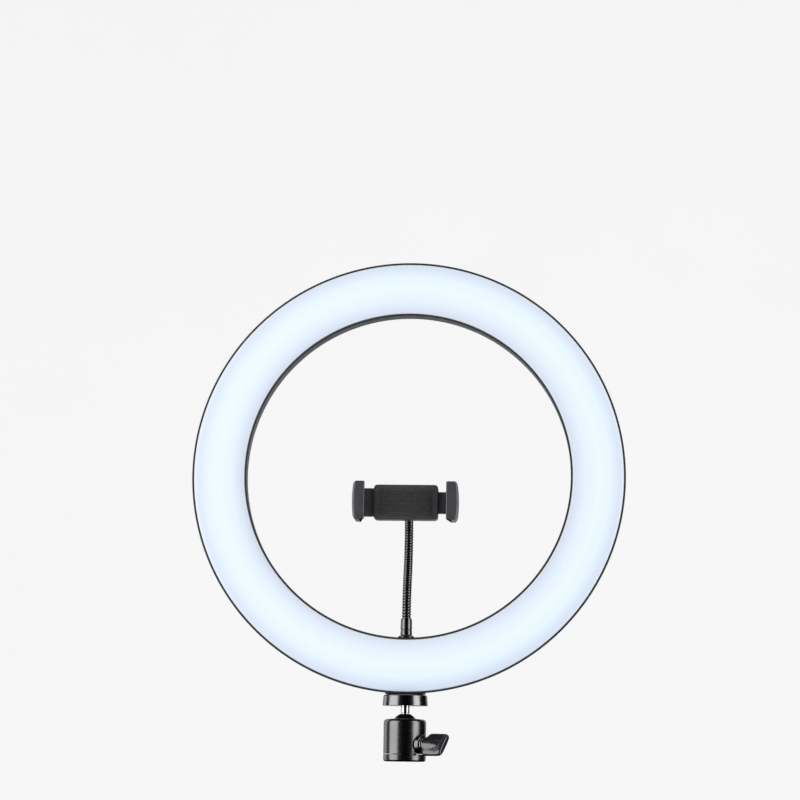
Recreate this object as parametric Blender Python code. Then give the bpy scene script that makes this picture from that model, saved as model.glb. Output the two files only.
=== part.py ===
"""Ring light on a mini ball head, with a phone clamp on a gooseneck inside the ring.

Metres, +Z up. The light faces -Y. The origin is the centre of the ball head's bottom face, on the
axis of its stand thread. Sizes below are in millimetres times MM.
"""

from math import acos, atan, cos, hypot, pi, radians, sin, sqrt

import bmesh
import bpy
from mathutils import Matrix, Vector

MM = 0.001
GAP = 0.3 * MM
RING_SIDES = 60
ROUND_SIDES = 28
SMALL_SIDES = 18
SMOOTH_ANGLE = radians(35)

# Ring: radii from the ring's centre, depths along Y. The stem's axis is at depth 0.
RING_OUTER = 165.0 * MM
RING_INNER = 123.2 * MM
RING_WALL = 1.4 * MM
RING_DRAFT = 0.8 * MM
FRONT_Y = -9.0 * MM
PARTING_Y = 6.0 * MM
BACK_Y = 13.0 * MM
WEB_FRONT_Y = 1.8 * MM
WEB_BACK_Y = 3.4 * MM
RING_MIDDLE = (RING_OUTER + RING_INNER) / 2
COVER_SCREWS = 6
INLET_ANGLE = 284
WIRE_HOLE_ANGLE = 291

# Ball head: heights above the origin.
BASE_RADIUS = 16.0 * MM
BASE_CAP_TOP = 5.4 * MM
SPIGOT_TOP = 7.6 * MM
SPIGOT_RADIUS = 9.0 * MM
HOUSING_TOP = 31.2 * MM
BALL_RADIUS = 10.3 * MM
BALL_Z = 25.4 * MM
CAVITY_RADIUS = 10.9 * MM
MOUTH_RADIUS = 11.3 * MM
COLLAR_BOTTOM = 27.2 * MM
STEM_RADIUS = 3.3 * MM
STUD_RADIUS = 3.1 * MM
STAND_THREAD_RADIUS = 3.2 * MM
DISC_BOTTOM = 41.0 * MM
DISC_TOP = 49.0 * MM
PAD_FLOOR = 48.1 * MM
PAD_TOP = 49.2 * MM
FOOT_Z = 49.5 * MM
RING_Z = FOOT_Z + RING_OUTER

# Lock knob: it points to the light's front right. Distances are from the head's axis.
KNOB_AZIMUTH = radians(-38)
KNOB_Z = 12.6 * MM
SCREW_RADIUS = 2.0 * MM
BOSS_RADIUS = 6.6 * MM
BOSS_END = 18.2 * MM
KNOB_START = 19.1 * MM
WING_TURN = radians(35)

# Gooseneck: a chain of short segments from the ring's inner wall to the clamp's ball.
NECK_RADIUS = 3.4 * MM
NECK_SEGMENTS = 8
NECK_SPACE = 1.1 * MM
FERRULE_RADIUS = 4.4 * MM
FERRULE_BORE = 3.7 * MM
NECK_SOCKET = 4.5 * MM
NECK_FOOT_Z = RING_Z - RING_INNER + GAP
FLANGE_HEIGHT = 1.5 * MM
FERRULE_BOTTOM = NECK_FOOT_Z + FLANGE_HEIGHT + GAP
FERRULE_TOP = FERRULE_BOTTOM + 12.4 * MM
NECK_TOP_BEND = 18.0 * MM

# Phone clamp, closed on its stop 64 mm wide. Depths along Y.
CLAMP_Z = 190.2 * MM
CLAMP_BALL_Y = -16.3 * MM
CLAMP_BALL_RADIUS = 6.5 * MM
CLAMP_FRONT_Y = -34.0 * MM
CLAMP_JOIN_Y = -25.3 * MM
CLAMP_BACK_Y = -23.0 * MM
CLAMP_HALF_WIDTH = 24.0 * MM
CLAMP_HALF_HEIGHT = 13.0 * MM
CAVITY_HALF_HEIGHT = 8.4 * MM
CAVITY_FRONT_Y = -31.3 * MM
SLIDE_Y = -28.4 * MM
JAW_INSIDE = 33.5 * MM
JAW_OUTSIDE = 39.5 * MM
JAW_HALF_HEIGHT = 14.2 * MM
LIP_FRONT_Y = -46.4 * MM
LIP_BACK_Y = -43.9 * MM
LIP_INSIDE = 30.2 * MM
ROD_OFFSET = 5.2 * MM

BLACK_PLASTIC = ("black_plastic", (0.018, 0.018, 0.020), 0.42, 0.0)
GLOSS_BLACK = ("gloss_black", (0.014, 0.014, 0.016), 0.22, 0.0)
BLACK_METAL = ("black_metal", (0.025, 0.025, 0.028), 0.30, 0.8)
MILKY_ACRYLIC = ("milky_acrylic", (0.90, 0.94, 1.0), 0.35, 0.0)
STEEL = ("steel", (0.62, 0.62, 0.64), 0.28, 1.0)
BRASS = ("brass", (0.70, 0.52, 0.22), 0.35, 1.0)
RUBBER = ("rubber", (0.03, 0.03, 0.03), 0.85, 0.0)
NYLON = ("nylon", (0.10, 0.10, 0.11), 0.50, 0.0)
BOARD_WHITE = ("board_white", (0.85, 0.86, 0.84), 0.50, 0.0)
WIRE_RED = ("wire_red", (0.55, 0.03, 0.03), 0.45, 0.0)
WIRE_BLACK = ("wire_black", (0.02, 0.02, 0.02), 0.45, 0.0)


# ---------------------------------------------------------------- tools

def clear_scene():
    for obj in list(bpy.data.objects):
        bpy.data.objects.remove(obj)


def material(finish):
    name, colour, roughness, metallic = finish
    made = bpy.data.materials.get(name)
    if made is None:
        made = bpy.data.materials.new(name)
        made.use_nodes = True
        shader = made.node_tree.nodes["Principled BSDF"]
        shader.inputs["Base Color"].default_value = (*colour, 1.0)
        shader.inputs["Roughness"].default_value = roughness
        shader.inputs["Metallic"].default_value = metallic
    return made


def add_empty(name, location=(0, 0, 0), parent=None):
    """A body's frame, at a place given in the whole object's frame."""
    empty = bpy.data.objects.new(name, None)
    bpy.context.scene.collection.objects.link(empty)
    empty.parent = parent
    empty.matrix_world = Matrix.Translation(location)
    bpy.context.view_layer.update()
    return empty


def add_object(name, bm, finish, parent, place=None):
    """Links a mesh as a node. place carries its own coordinates into the whole object's frame."""
    bmesh.ops.recalc_face_normals(bm, faces=bm.faces)
    mesh = bpy.data.meshes.new(name)
    bm.to_mesh(mesh)
    bm.free()
    mesh.materials.append(material(finish))
    mesh.shade_smooth()
    mesh.set_sharp_from_angle(angle=SMOOTH_ANGLE)
    obj = bpy.data.objects.new(name, mesh)
    bpy.context.scene.collection.objects.link(obj)
    obj.parent = parent
    obj.matrix_world = place or Matrix.Identity(4)
    bpy.context.view_layer.update()
    return obj


def boolean(obj, other_bm, operation, place=None):
    """Cuts obj by a helper solid, or joins the helper to it."""
    helper = add_object(f"{obj.name}_{operation.lower()}", other_bm, BLACK_PLASTIC, obj.parent, place)
    helper.hide_render = True
    helper.display_type = "WIRE"
    modifier = obj.modifiers.new(operation.title(), "BOOLEAN")
    modifier.operation = operation
    modifier.solver = "EXACT"
    modifier.object = helper


def cut(obj, other_bm, place=None):
    boolean(obj, other_bm, "DIFFERENCE", place)


def join(obj, other_bm, place=None):
    boolean(obj, other_bm, "UNION", place)


def on_axis(across, up, along, axis):
    """A point with a height along the named axis and two coordinates across it."""
    if axis == "Z":
        return (across, up, along)
    if axis == "Y":
        return (across, along, up)
    return (along, across, up)


def lathe(profile, sides=ROUND_SIDES, axis="Z"):
    """Turned solid from a loop of (radius, height) points. Points of radius 0 close it on the axis."""
    bm = bmesh.new()
    rings = []
    for radius, height in profile:
        if radius < 1e-9:
            rings.append([bm.verts.new(on_axis(0, 0, height, axis))] * sides)
            continue
        turns = [2 * pi * (k + 0.5) / sides for k in range(sides)]
        rings.append([bm.verts.new(on_axis(radius * cos(a), radius * sin(a), height, axis)) for a in turns])
    for here, there in zip(rings, rings[1:] + rings[:1]):
        for k in range(sides):
            after = (k + 1) % sides
            corners = list(dict.fromkeys((here[k], here[after], there[after], there[k])))
            if len(corners) > 2:
                bm.faces.new(corners)
    return bm


def rod(radius, start, end, sides=SMALL_SIDES, axis="Z"):
    return lathe([(0, start), (radius, start), (radius, end), (0, end)], sides, axis)


def tube(inner, outer, start, end, sides=SMALL_SIDES, axis="Z"):
    return lathe([(inner, start), (outer, start), (outer, end), (inner, end)], sides, axis)


def block(low, high):
    bm = bmesh.new()
    bmesh.ops.create_cube(bm, size=1.0)
    middle = (Vector(low) + Vector(high)) / 2
    size = Vector(high) - Vector(low)
    stretched = Matrix.Translation(middle) @ Matrix.Diagonal((*size, 1.0))
    bmesh.ops.transform(bm, matrix=stretched, verts=bm.verts)
    return bm


def loft(sections):
    """Closed solid through loops of points, with both ends capped."""
    bm = bmesh.new()
    loops = [[bm.verts.new(point) for point in section] for section in sections]
    for here, there in zip(loops, loops[1:]):
        for k in range(len(here)):
            after = (k + 1) % len(here)
            bm.faces.new((here[k], here[after], there[after], there[k]))
    bm.faces.new(loops[0])
    bm.faces.new(loops[-1])
    return bm


def arc(centre, radii, start, end, steps):
    """Points (radius, height) on an elliptical arc, with both ends."""
    turns = [start + (end - start) * k / steps for k in range(steps + 1)]
    return [(centre[0] + radii[0] * cos(a), centre[1] + radii[1] * sin(a)) for a in turns]


def rounded_outline(half_width, half_height, corner, steps=3):
    """A rectangle with round corners, centred on 0, as (across, up) points."""
    x, z = half_width - corner, half_height - corner
    quarter = pi / 2
    points = []
    for number, centre in enumerate(((x, z), (-x, z), (-x, -z), (x, -z))):
        points += arc(centre, (corner, corner), number * quarter, (number + 1) * quarter, steps)
    return points


def copies(*groups):
    """Several solids as one mesh of separate pieces. A group is a solid and the places it stands at."""
    made = bmesh.new()
    for bm, places in groups:
        mesh = bpy.data.meshes.new("pattern")
        bm.to_mesh(mesh)
        bm.free()
        for place in places:
            start = len(made.verts)
            made.from_mesh(mesh)
            made.verts.ensure_lookup_table()
            bmesh.ops.transform(made, matrix=place, verts=made.verts[start:])
        bpy.data.meshes.remove(mesh)
    return made


def plate(outline, start, end, axis="Y", centre=(0, 0)):
    """An outline made into a plate between two heights along an axis."""
    ends = (start, end)
    return loft([[on_axis(a + centre[0], b + centre[1], h, axis) for a, b in outline] for h in ends])


# ---------------------------------------------------------------- ring

def ring_place():
    return Matrix.Translation((0, 0, RING_Z))


def around_ring(radius, degrees, depth=0.0):
    """A point at a radius and an angle round the ring, counted from +X towards +Z."""
    turn = radians(degrees)
    return Vector((radius * cos(turn), depth, RING_Z + radius * sin(turn)))


def cover_screw_places():
    angles = [30 + 360 / COVER_SCREWS * number for number in range(COVER_SCREWS)]
    return [Matrix.Translation(around_ring(RING_MIDDLE, angle)) for angle in angles]


def make_ring_frame(body):
    """The moulded frame: two drafted walls joined by a web, with bosses for the two threaded nuts."""
    outer, inner, wall, lean = RING_OUTER, RING_INNER, RING_WALL, RING_DRAFT
    slope = lean / (PARTING_Y - FRONT_Y)
    chamfer = 0.4 * MM

    def drift(depth):
        return slope * (depth - FRONT_Y)

    profile = [
        (outer - chamfer, FRONT_Y), (outer, FRONT_Y + chamfer),
        (outer - lean, PARTING_Y), (outer - lean - wall, PARTING_Y),
        (outer - wall - drift(WEB_BACK_Y), WEB_BACK_Y), (inner + wall + drift(WEB_BACK_Y), WEB_BACK_Y),
        (inner + lean + wall, PARTING_Y), (inner + lean, PARTING_Y),
        (inner, FRONT_Y + chamfer), (inner + chamfer, FRONT_Y), (inner + wall, FRONT_Y),
        (inner + wall + drift(WEB_FRONT_Y), WEB_FRONT_Y),
        (outer - wall - drift(WEB_FRONT_Y), WEB_FRONT_Y), (outer - wall, FRONT_Y),
    ]
    frame = add_object("ring_frame", lathe(profile, RING_SIDES, "Y"), BLACK_PLASTIC, body, ring_place())
    nut_boss = rod(5.6 * MM, FOOT_Z + 0.8 * MM, FOOT_Z + 10.2 * MM, ROUND_SIDES)
    join(frame, nut_boss)
    foot = rounded_outline(15 * MM, 5.6 * MM, 2.5 * MM)
    join(frame, plate(foot, FOOT_Z, FOOT_Z + 1.3 * MM, "Z"))
    neck_boss_top = RING_Z - RING_INNER - 0.9 * MM
    join(frame, rod(5.0 * MM, neck_boss_top - 7.6 * MM, neck_boss_top, ROUND_SIDES))
    screw_boss = tube(1.5 * MM, 3.0 * MM, WEB_BACK_Y - 0.6 * MM, 9.2 * MM, 12, "Y")
    join(frame, copies((screw_boss, cover_screw_places())))
    cut(frame, rod(4.7 * MM, FOOT_Z - 1 * MM, FOOT_Z + 9.0 * MM, ROUND_SIDES))
    cut(frame, rod(3.9 * MM, RING_Z - RING_INNER - 7.4 * MM, RING_Z - RING_INNER + 3 * MM, ROUND_SIDES))
    wire_hole = rod(2.6 * MM, WEB_FRONT_Y - 1 * MM, WEB_BACK_Y + 1 * MM, SMALL_SIDES, "Y")
    cut(frame, wire_hole, Matrix.Translation(around_ring(RING_MIDDLE, WIRE_HOLE_ANGLE)))


def make_rear_cover(body):
    """The dished back of the ring, with round shoulders, screw wells and the hole for the inlet."""
    rim = PARTING_Y + GAP
    outer, inner, wall = RING_OUTER - RING_DRAFT, RING_INNER + RING_DRAFT, RING_WALL
    across, deep = 10.5 * MM, BACK_Y - rim
    right, left = outer - across, inner + across
    profile = (
        arc((right, rim), (across, deep), 0, pi / 2, 4)
        + arc((left, rim), (across, deep), pi / 2, pi, 4)
        + arc((left, rim), (across - wall, deep - wall), pi, pi / 2, 3)
        + arc((right, rim), (across - wall, deep - wall), pi / 2, 0, 3)
    )
    cover = add_object("rear_cover", lathe(profile, RING_SIDES, "Y"), BLACK_PLASTIC, body, ring_place())
    join(cover, copies((rod(4.4 * MM, 9.5 * MM, BACK_Y - 0.6 * MM, 12, "Y"), cover_screw_places())))
    outside = BACK_Y + 1 * MM
    well = [(0, 9 * MM), (1.7 * MM, 9 * MM), (1.7 * MM, 11.3 * MM), (3.2 * MM, 11.3 * MM),
            (3.2 * MM, outside), (0, outside)]
    inlet_hole = rod(5.1 * MM, 9.0 * MM, outside, SMALL_SIDES, "Y")
    cut(cover, copies((lathe(well, 12, "Y"), cover_screw_places()), (inlet_hole, [inlet_place()])))


def inlet_place():
    return Matrix.Translation(around_ring(RING_MIDDLE, INLET_ANGLE))


def make_cover_screws(body):
    head, shank = 2.8 * MM, 1.25 * MM
    profile = [
        (0, 4.6 * MM), (shank, 4.6 * MM), (shank, 11.4 * MM), (head, 11.4 * MM),
        (head, 12.4 * MM), (head * 0.7, 12.8 * MM), (0, 12.8 * MM),
    ]
    for number, place in enumerate(cover_screw_places()):
        add_object(f"cover_screw_{number + 1}", lathe(profile, 16, "Y"), STEEL, body, place)


def make_diffuser(body):
    """The milky front: a shallow crown with round shoulders and short skirts inside the frame's rims."""
    clearance, thick, crown, skirt_y = 0.25 * MM, 1.6 * MM, 1.6 * MM, -6.2 * MM
    inner = RING_INNER + RING_WALL + clearance
    outer = RING_OUTER - RING_WALL - clearance
    half = (outer - inner) / 2
    front_steps, back_steps = 6, 3

    def crown_y(radius, offset):
        share = (radius - RING_MIDDLE) / half
        return FRONT_Y - crown * sqrt(max(0.0, 1 - share**4)) + offset

    def crossing(reach, steps):
        return [RING_MIDDLE - reach * cos(pi * k / steps) for k in range(steps + 1)]

    front = [(radius, crown_y(radius, 0)) for radius in crossing(half, front_steps)]
    back = [(radius, crown_y(radius, thick)) for radius in reversed(crossing(half - thick, back_steps))]
    profile = front + [(outer, skirt_y), (outer - thick, skirt_y)]
    profile += back + [(inner + thick, skirt_y), (inner, skirt_y)]
    add_object("diffuser", lathe(profile, RING_SIDES, "Y"), MILKY_ACRYLIC, body, ring_place())


LED_BOARDS = 4
LEDS_IN_ROW = 9
LED_ROWS = (139.6 * MM, 147.4 * MM)


def make_led_board(number, body):
    """A quarter-ring circuit board with two rows of LEDs raised from its front."""
    inner, outer = 133.0 * MM, 154.0 * MM
    front, back, raised = 0.0, 1.5 * MM, 0.8 * MM
    led_half_across, led_share = 1.7 * MM, 0.32
    span = 2 * pi / LED_BOARDS - radians(1.6)
    first = 2 * pi / LED_BOARDS * number + radians(0.8)
    pitch = span / LEDS_IN_ROW
    edges = [first]
    for k in range(LEDS_IN_ROW):
        middle = first + pitch * (k + 0.5)
        edges += [middle - pitch * led_share / 2, middle + pitch * led_share / 2]
    edges.append(first + span)
    radii = [inner]
    for row in LED_ROWS:
        radii += [row - led_half_across, row + led_half_across]
    radii.append(outer)

    bm = bmesh.new()

    def vertex(radius, angle, depth):
        return bm.verts.new((radius * cos(angle), depth, radius * sin(angle)))

    grid = [[vertex(radius, angle, front) for radius in radii] for angle in edges]
    rear = [[vertex(radius, angle, back) for radius in (inner, outer)] for angle in edges]
    leds = []
    for i in range(len(edges) - 1):
        for j in range(len(radii) - 1):
            face = bm.faces.new((grid[i][j], grid[i + 1][j], grid[i + 1][j + 1], grid[i][j + 1]))
            if i % 2 == 1 and j % 2 == 1:
                leds.append(face)
        bm.faces.new((rear[i][0], rear[i][1], rear[i + 1][1], rear[i + 1][0]))
        bm.faces.new((grid[i][0], grid[i + 1][0], rear[i + 1][0], rear[i][0]))
        bm.faces.new((grid[i][-1], grid[i + 1][-1], rear[i + 1][1], rear[i][1]))
    for i in (0, -1):
        bm.faces.new(grid[i] + [rear[i][1], rear[i][0]])
    for face in leds:
        top = bmesh.ops.extrude_discrete_faces(bm, faces=[face])["faces"][0]
        bmesh.ops.translate(bm, verts=top.verts, vec=(0, -raised, 0))
    name = f"led_board_{number + 1}"
    add_object(name, bm, BOARD_WHITE, body, ring_place())


def make_threaded_nuts(body):
    stand = tube(3.35 * MM, 4.5 * MM, FOOT_Z + 0.2 * MM, FOOT_Z + 8.4 * MM, ROUND_SIDES)
    add_object("foot_nut", stand, BRASS, body)
    wall = RING_Z - RING_INNER
    neck = tube(2.6 * MM, 3.6 * MM, wall - 7.1 * MM, wall - 0.3 * MM, ROUND_SIDES)
    add_object("neck_nut", neck, BRASS, body)


def make_inlet(body):
    """Round power socket in the rear cover: a barrel with a pin standing in its bore."""
    profile = [
        (0, 6.6 * MM), (4.8 * MM, 6.6 * MM), (4.8 * MM, BACK_Y + 0.2 * MM), (6.2 * MM, BACK_Y + 0.2 * MM),
        (6.2 * MM, BACK_Y + 1.0 * MM), (5.8 * MM, BACK_Y + 1.4 * MM), (2.9 * MM, BACK_Y + 1.4 * MM),
        (2.9 * MM, 8.0 * MM), (0.9 * MM, 8.0 * MM), (0.9 * MM, BACK_Y + 0.2 * MM), (0, BACK_Y + 0.6 * MM),
    ]
    add_object("power_inlet", lathe(profile, SMALL_SIDES, "Y"), GLOSS_BLACK, body, inlet_place())


def make_lead(name, finish, side, body):
    """A wire from the inlet's rear to the back of an LED board, through the hole in the web."""
    inlet = around_ring(RING_MIDDLE, INLET_ANGLE)
    hole = around_ring(RING_MIDDLE, WIRE_HOLE_ANGLE)
    across = Vector((hole - inlet)).normalized().cross(Vector((0, 1, 0))) * side * 1.15 * MM
    run = hole - inlet
    depths = (
        (0.0, 6.4), (0.02, 5.6), (0.12, 5.05), (0.5, 4.85),
        (0.86, 4.9), (0.96, 4.2), (0.995, 3.0), (1.0, 1.75),
    )
    curve = bpy.data.curves.new(name, "CURVE")
    curve.dimensions = "3D"
    curve.bevel_depth = 0.7 * MM
    curve.bevel_resolution = 2
    curve.use_fill_caps = True
    curve.resolution_u = 4
    spline = curve.splines.new("POLY")
    spline.points.add(len(depths) - 1)
    for point, (share, depth) in zip(spline.points, depths):
        at = inlet + run * share + across
        point.co = (at.x, depth * MM, at.z, 1.0)
    curve.materials.append(material(finish))
    lead = bpy.data.objects.new(name, curve)
    bpy.context.scene.collection.objects.link(lead)
    lead.parent = body
    lead.matrix_world = Matrix.Identity(4)
    bpy.context.view_layer.update()


# ---------------------------------------------------------------- ball head

def make_base(body):
    """The base cap with its stand thread, which closes the housing from below."""
    fillet = arc((BASE_RADIUS - 1.2 * MM, 1.2 * MM), (1.2 * MM, 1.2 * MM), -pi / 2, 0, 3)
    groove = 0.5 * MM
    profile = [(5.3 * MM, 0.0)] + fillet + [
        (BASE_RADIUS, BASE_CAP_TOP - groove), (BASE_RADIUS - groove, BASE_CAP_TOP),
        (SPIGOT_RADIUS, BASE_CAP_TOP), (SPIGOT_RADIUS, SPIGOT_TOP), (0, SPIGOT_TOP),
        (0, 6.7 * MM), (5.3 * MM, 6.7 * MM),
    ]
    add_object("base_cap", lathe(profile), BLACK_METAL, body)
    insert = tube(STAND_THREAD_RADIUS, 5.0 * MM, 0.15 * MM, 6.4 * MM, ROUND_SIDES)
    add_object("stand_thread_insert", insert, STEEL, body)


def knob_place():
    """Carries a solid made along +X, at its distance from the head's axis, to the lock screw's axis."""
    return Matrix.Translation((0, 0, KNOB_Z)) @ Matrix.Rotation(KNOB_AZIMUTH, 4, "Z")


def make_housing(body):
    edge = 3.5 * MM
    bottom = BASE_CAP_TOP + GAP
    profile = (
        [(SPIGOT_RADIUS + GAP, bottom), (BASE_RADIUS - 0.5 * MM, bottom), (BASE_RADIUS, bottom + 0.5 * MM)]
        + arc((BASE_RADIUS - edge, HOUSING_TOP - edge), (edge, edge), 0, pi / 2, 5)
        + [(MOUTH_RADIUS, HOUSING_TOP), (MOUTH_RADIUS, COLLAR_BOTTOM - 0.2 * MM),
           (CAVITY_RADIUS, COLLAR_BOTTOM - 0.2 * MM), (CAVITY_RADIUS, SPIGOT_TOP + 0.4 * MM),
           (SPIGOT_RADIUS + GAP, SPIGOT_TOP + 0.4 * MM)]
    )
    housing = add_object("head_housing", lathe(profile), BLACK_METAL, body)
    boss = lathe([
        (0, 12.5 * MM), (BOSS_RADIUS, 12.5 * MM), (BOSS_RADIUS, BOSS_END - 0.6 * MM),
        (BOSS_RADIUS - 0.6 * MM, BOSS_END), (0, BOSS_END),
    ], 28, "X")
    join(housing, boss, knob_place())
    cavity = [(0, SPIGOT_TOP), (CAVITY_RADIUS, SPIGOT_TOP), (CAVITY_RADIUS, 20 * MM), (0, 20 * MM)]
    cut(housing, lathe(cavity))
    cut(housing, rod(SCREW_RADIUS + 0.4 * MM, 8 * MM, 22 * MM, SMALL_SIDES, "X"), knob_place())


def sphere_ring(radius, centre, low, high, steps):
    """Points (radius, height) on a sphere between two heights."""
    start = acos((low - centre) / radius)
    end = acos((high - centre) / radius)
    turns = [start + (end - start) * k / steps for k in range(steps + 1)]
    return [(radius * sin(a), centre + radius * cos(a)) for a in turns]


def make_ball_collar(body):
    """The ring in the housing's mouth that holds the ball down."""
    clear = BALL_RADIUS + GAP
    outer = MOUTH_RADIUS - 0.25 * MM
    top = HOUSING_TOP + 0.2 * MM
    bore = sphere_ring(clear, BALL_Z, COLLAR_BOTTOM, HOUSING_TOP - 0.6 * MM, 4)
    profile = bore + [
        (9.9 * MM, top), (outer - 0.4 * MM, top), (outer, top - 0.4 * MM), (outer, COLLAR_BOTTOM),
    ]
    add_object("ball_collar", lathe(profile), NYLON, body)


def make_ball_seat(body):
    """The cup under the ball. It turns with the ball and is pushed up against it by the lift plug."""
    clear, hole, outer = BALL_RADIUS + GAP, 6.5 * MM, 10.6 * MM
    bottom, top = BALL_Z - 9.5 * MM, BALL_Z - 5.0 * MM
    low = BALL_Z - sqrt(clear**2 - hole**2)
    profile = sphere_ring(clear, BALL_Z, low, top, 4) + [(outer, top), (outer, bottom), (hole, bottom)]
    add_object("ball_seat", lathe(profile), NYLON, body)


def make_lift_plug(body):
    """The plug under the seat: dished under the ball, with a radial socket for the lock screw's point."""
    radius, edge = 10.2 * MM, 0.6 * MM
    bottom, top = SPIGOT_TOP + 0.6 * MM, BALL_Z - 9.8 * MM
    profile = [
        (0, bottom), (radius - edge, bottom), (radius, bottom + edge),
        (radius, top - edge), (radius - edge, top),
        (4.7 * MM, top), (2.6 * MM, top - 0.8 * MM), (0, top - 1.1 * MM),
    ]
    plug = add_object("lift_plug", lathe(profile), STEEL, body)
    cut(plug, rod(SCREW_RADIUS + 0.4 * MM, 6.0 * MM, 12.0 * MM, SMALL_SIDES, "X"), knob_place())


def make_lock_knob(body):
    """The lock screw, its washer and the wing knob, on an axis square to the head's side."""
    screw = lathe([
        (0, 6.8 * MM), (0.8 * MM, 6.8 * MM), (SCREW_RADIUS, 8.4 * MM),
        (SCREW_RADIUS, 26 * MM), (0, 26 * MM),
    ], SMALL_SIDES, "X")
    add_object("lock_screw", screw, STEEL, body, knob_place())
    start, end = BOSS_END + 0.15 * MM, KNOB_START - 0.15 * MM
    washer = tube(SCREW_RADIUS + GAP, 5.2 * MM, start, end, SMALL_SIDES, "X")
    add_object("lock_washer", washer, STEEL, body, knob_place())

    # Distance from the head's axis, the wings' half width and half thickness, and the hub's radius.
    stations = (
        (19.1, 3.9, 2.4, 4.3), (19.7, 4.2, 2.4, 4.8), (20.8, 5.2, 2.5, 4.8), (21.7, 7.6, 2.6, 4.7),
        (23.0, 9.1, 2.7, 4.6), (26.0, 9.4, 2.7, 4.4), (30.0, 9.4, 2.6, 3.9), (34.0, 9.4, 2.5, 2.6),
        (36.8, 9.2, 2.5, 1.0), (38.2, 8.4, 2.2, 1.0), (38.8, 7.0, 1.6, 1.0),
    )
    points, square = 24, 3.2
    sections = []
    for along, width, thick, hub in stations:
        section = []
        for k in range(points):
            c, s = cos(2 * pi * k / points), sin(2 * pi * k / points)
            across = width * abs(c) ** (2 / square) * (1 if c > 0 else -1)
            up = thick * abs(s) ** (2 / square) * (1 if s > 0 else -1)
            reach = hypot(across, up)
            grown = (reach**6 + hub**6) ** (1 / 6) / reach
            section.append((along * MM, across * grown * MM, up * grown * MM))
        sections.append(section)
    # The wings' plane stands 35 degrees off the vertical, its upper wing leaning away from the front.
    turned = knob_place() @ Matrix.Rotation(pi / 2 - WING_TURN, 4, "X")
    knob = add_object("lock_knob", loft(sections), BLACK_PLASTIC, body, turned)
    cut(knob, rod(SCREW_RADIUS + 0.2 * MM, 17 * MM, 26.3 * MM, SMALL_SIDES, "X"), turned)


def make_ball_and_stem(body):
    ball = sphere_ring(BALL_RADIUS, BALL_Z, BALL_Z - BALL_RADIUS, BALL_Z + BALL_RADIUS * 0.94, 10)
    bore = 2.9 * MM
    profile = [point for point in ball if point[0] > bore + GAP or point[1] < BALL_Z]
    profile[0] = (0, BALL_Z - BALL_RADIUS)
    profile += [(bore, BALL_Z + BALL_RADIUS * 0.94), (bore, BALL_Z), (0, BALL_Z)]
    add_object("ball", lathe(profile), BLACK_METAL, body)
    shoulder = BALL_Z + BALL_RADIUS + 0.1 * MM
    stem = [
        (0, BALL_Z + 0.3 * MM), (2.6 * MM, BALL_Z + 0.3 * MM), (2.6 * MM, shoulder),
        (STEM_RADIUS + 0.2 * MM, shoulder), (STEM_RADIUS, shoulder + 0.6 * MM),
        (STEM_RADIUS, DISC_BOTTOM - GAP), (STUD_RADIUS, DISC_BOTTOM - GAP),
        (STUD_RADIUS, FOOT_Z + 5.1 * MM), (2.5 * MM, FOOT_Z + 5.7 * MM), (0, FOOT_Z + 5.7 * MM),
    ]
    add_object("stem", lathe(stem, SMALL_SIDES), STEEL, body)
    disc = [
        (STUD_RADIUS + 0.25 * MM, DISC_BOTTOM), (16.7 * MM, DISC_BOTTOM),
        (17.1 * MM, DISC_BOTTOM + 0.4 * MM),
    ] + arc((15.2 * MM, DISC_TOP - 1.2 * MM), (1.2 * MM, 1.2 * MM), 0, pi / 2, 4) + [
        (14.3 * MM, DISC_TOP), (14.3 * MM, PAD_FLOOR), (STUD_RADIUS + 0.25 * MM, PAD_FLOOR),
    ]
    add_object("top_disc", lathe(disc, 36), GLOSS_BLACK, body)
    pad = tube(STUD_RADIUS + 0.3 * MM, 14.0 * MM, PAD_FLOOR + 0.2 * MM, PAD_TOP, ROUND_SIDES)
    add_object("disc_pad", pad, RUBBER, body)


# ---------------------------------------------------------------- gooseneck

def neck_route():
    """The neck's resting line in the YZ plane, as (turn in radians, length) pieces from the lower ferrule.

    It stands up, leans back and straightens in an S, then curls forward to the clamp's ball.
    """
    rise = CLAMP_Z - NECK_TOP_BEND - FERRULE_TOP
    back = CLAMP_BALL_Y + 20.5 * MM + NECK_TOP_BEND
    lean = 2 * atan(back / rise)
    bend = rise / (2 * sin(lean))
    return [
        (0.0, NECK_SOCKET), (lean, bend * lean), (-lean, bend * lean),
        (-pi / 2, NECK_TOP_BEND * pi / 2), (0.0, NECK_SOCKET),
    ]


def neck_length():
    return sum(length for _, length in neck_route())


def neck_at(travel):
    """(point, tangent) of the neck's line at a distance from its start."""
    point = Vector((0, 0, FERRULE_TOP - NECK_SOCKET))
    heading = 0.0
    for turn, length in neck_route():
        step = min(travel, length)
        if abs(turn) < 1e-9:
            point = point + Vector((0, sin(heading), cos(heading))) * step
        else:
            radius = length / turn
            after = heading + step / radius
            point = point + Vector((0, cos(heading) - cos(after), sin(after) - sin(heading))) * radius
            heading = after
        travel -= step
        if travel <= 1e-12:
            break
    return point, Vector((0, sin(heading), cos(heading)))


def neck_joint_travel(number):
    """Where joint 1 to 7 lies along the neck."""
    free = neck_length() - 2 * NECK_SOCKET
    return NECK_SOCKET + free * number / NECK_SEGMENTS


def tube_section(travel, radius, sides):
    point, tangent = neck_at(travel)
    across = Vector((1, 0, 0))
    up = across.cross(tangent)
    turns = [2 * pi * (k + 0.5) / sides for k in range(sides)]
    return [point + (across * cos(a) + up * sin(a)) * radius for a in turns]


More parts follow.
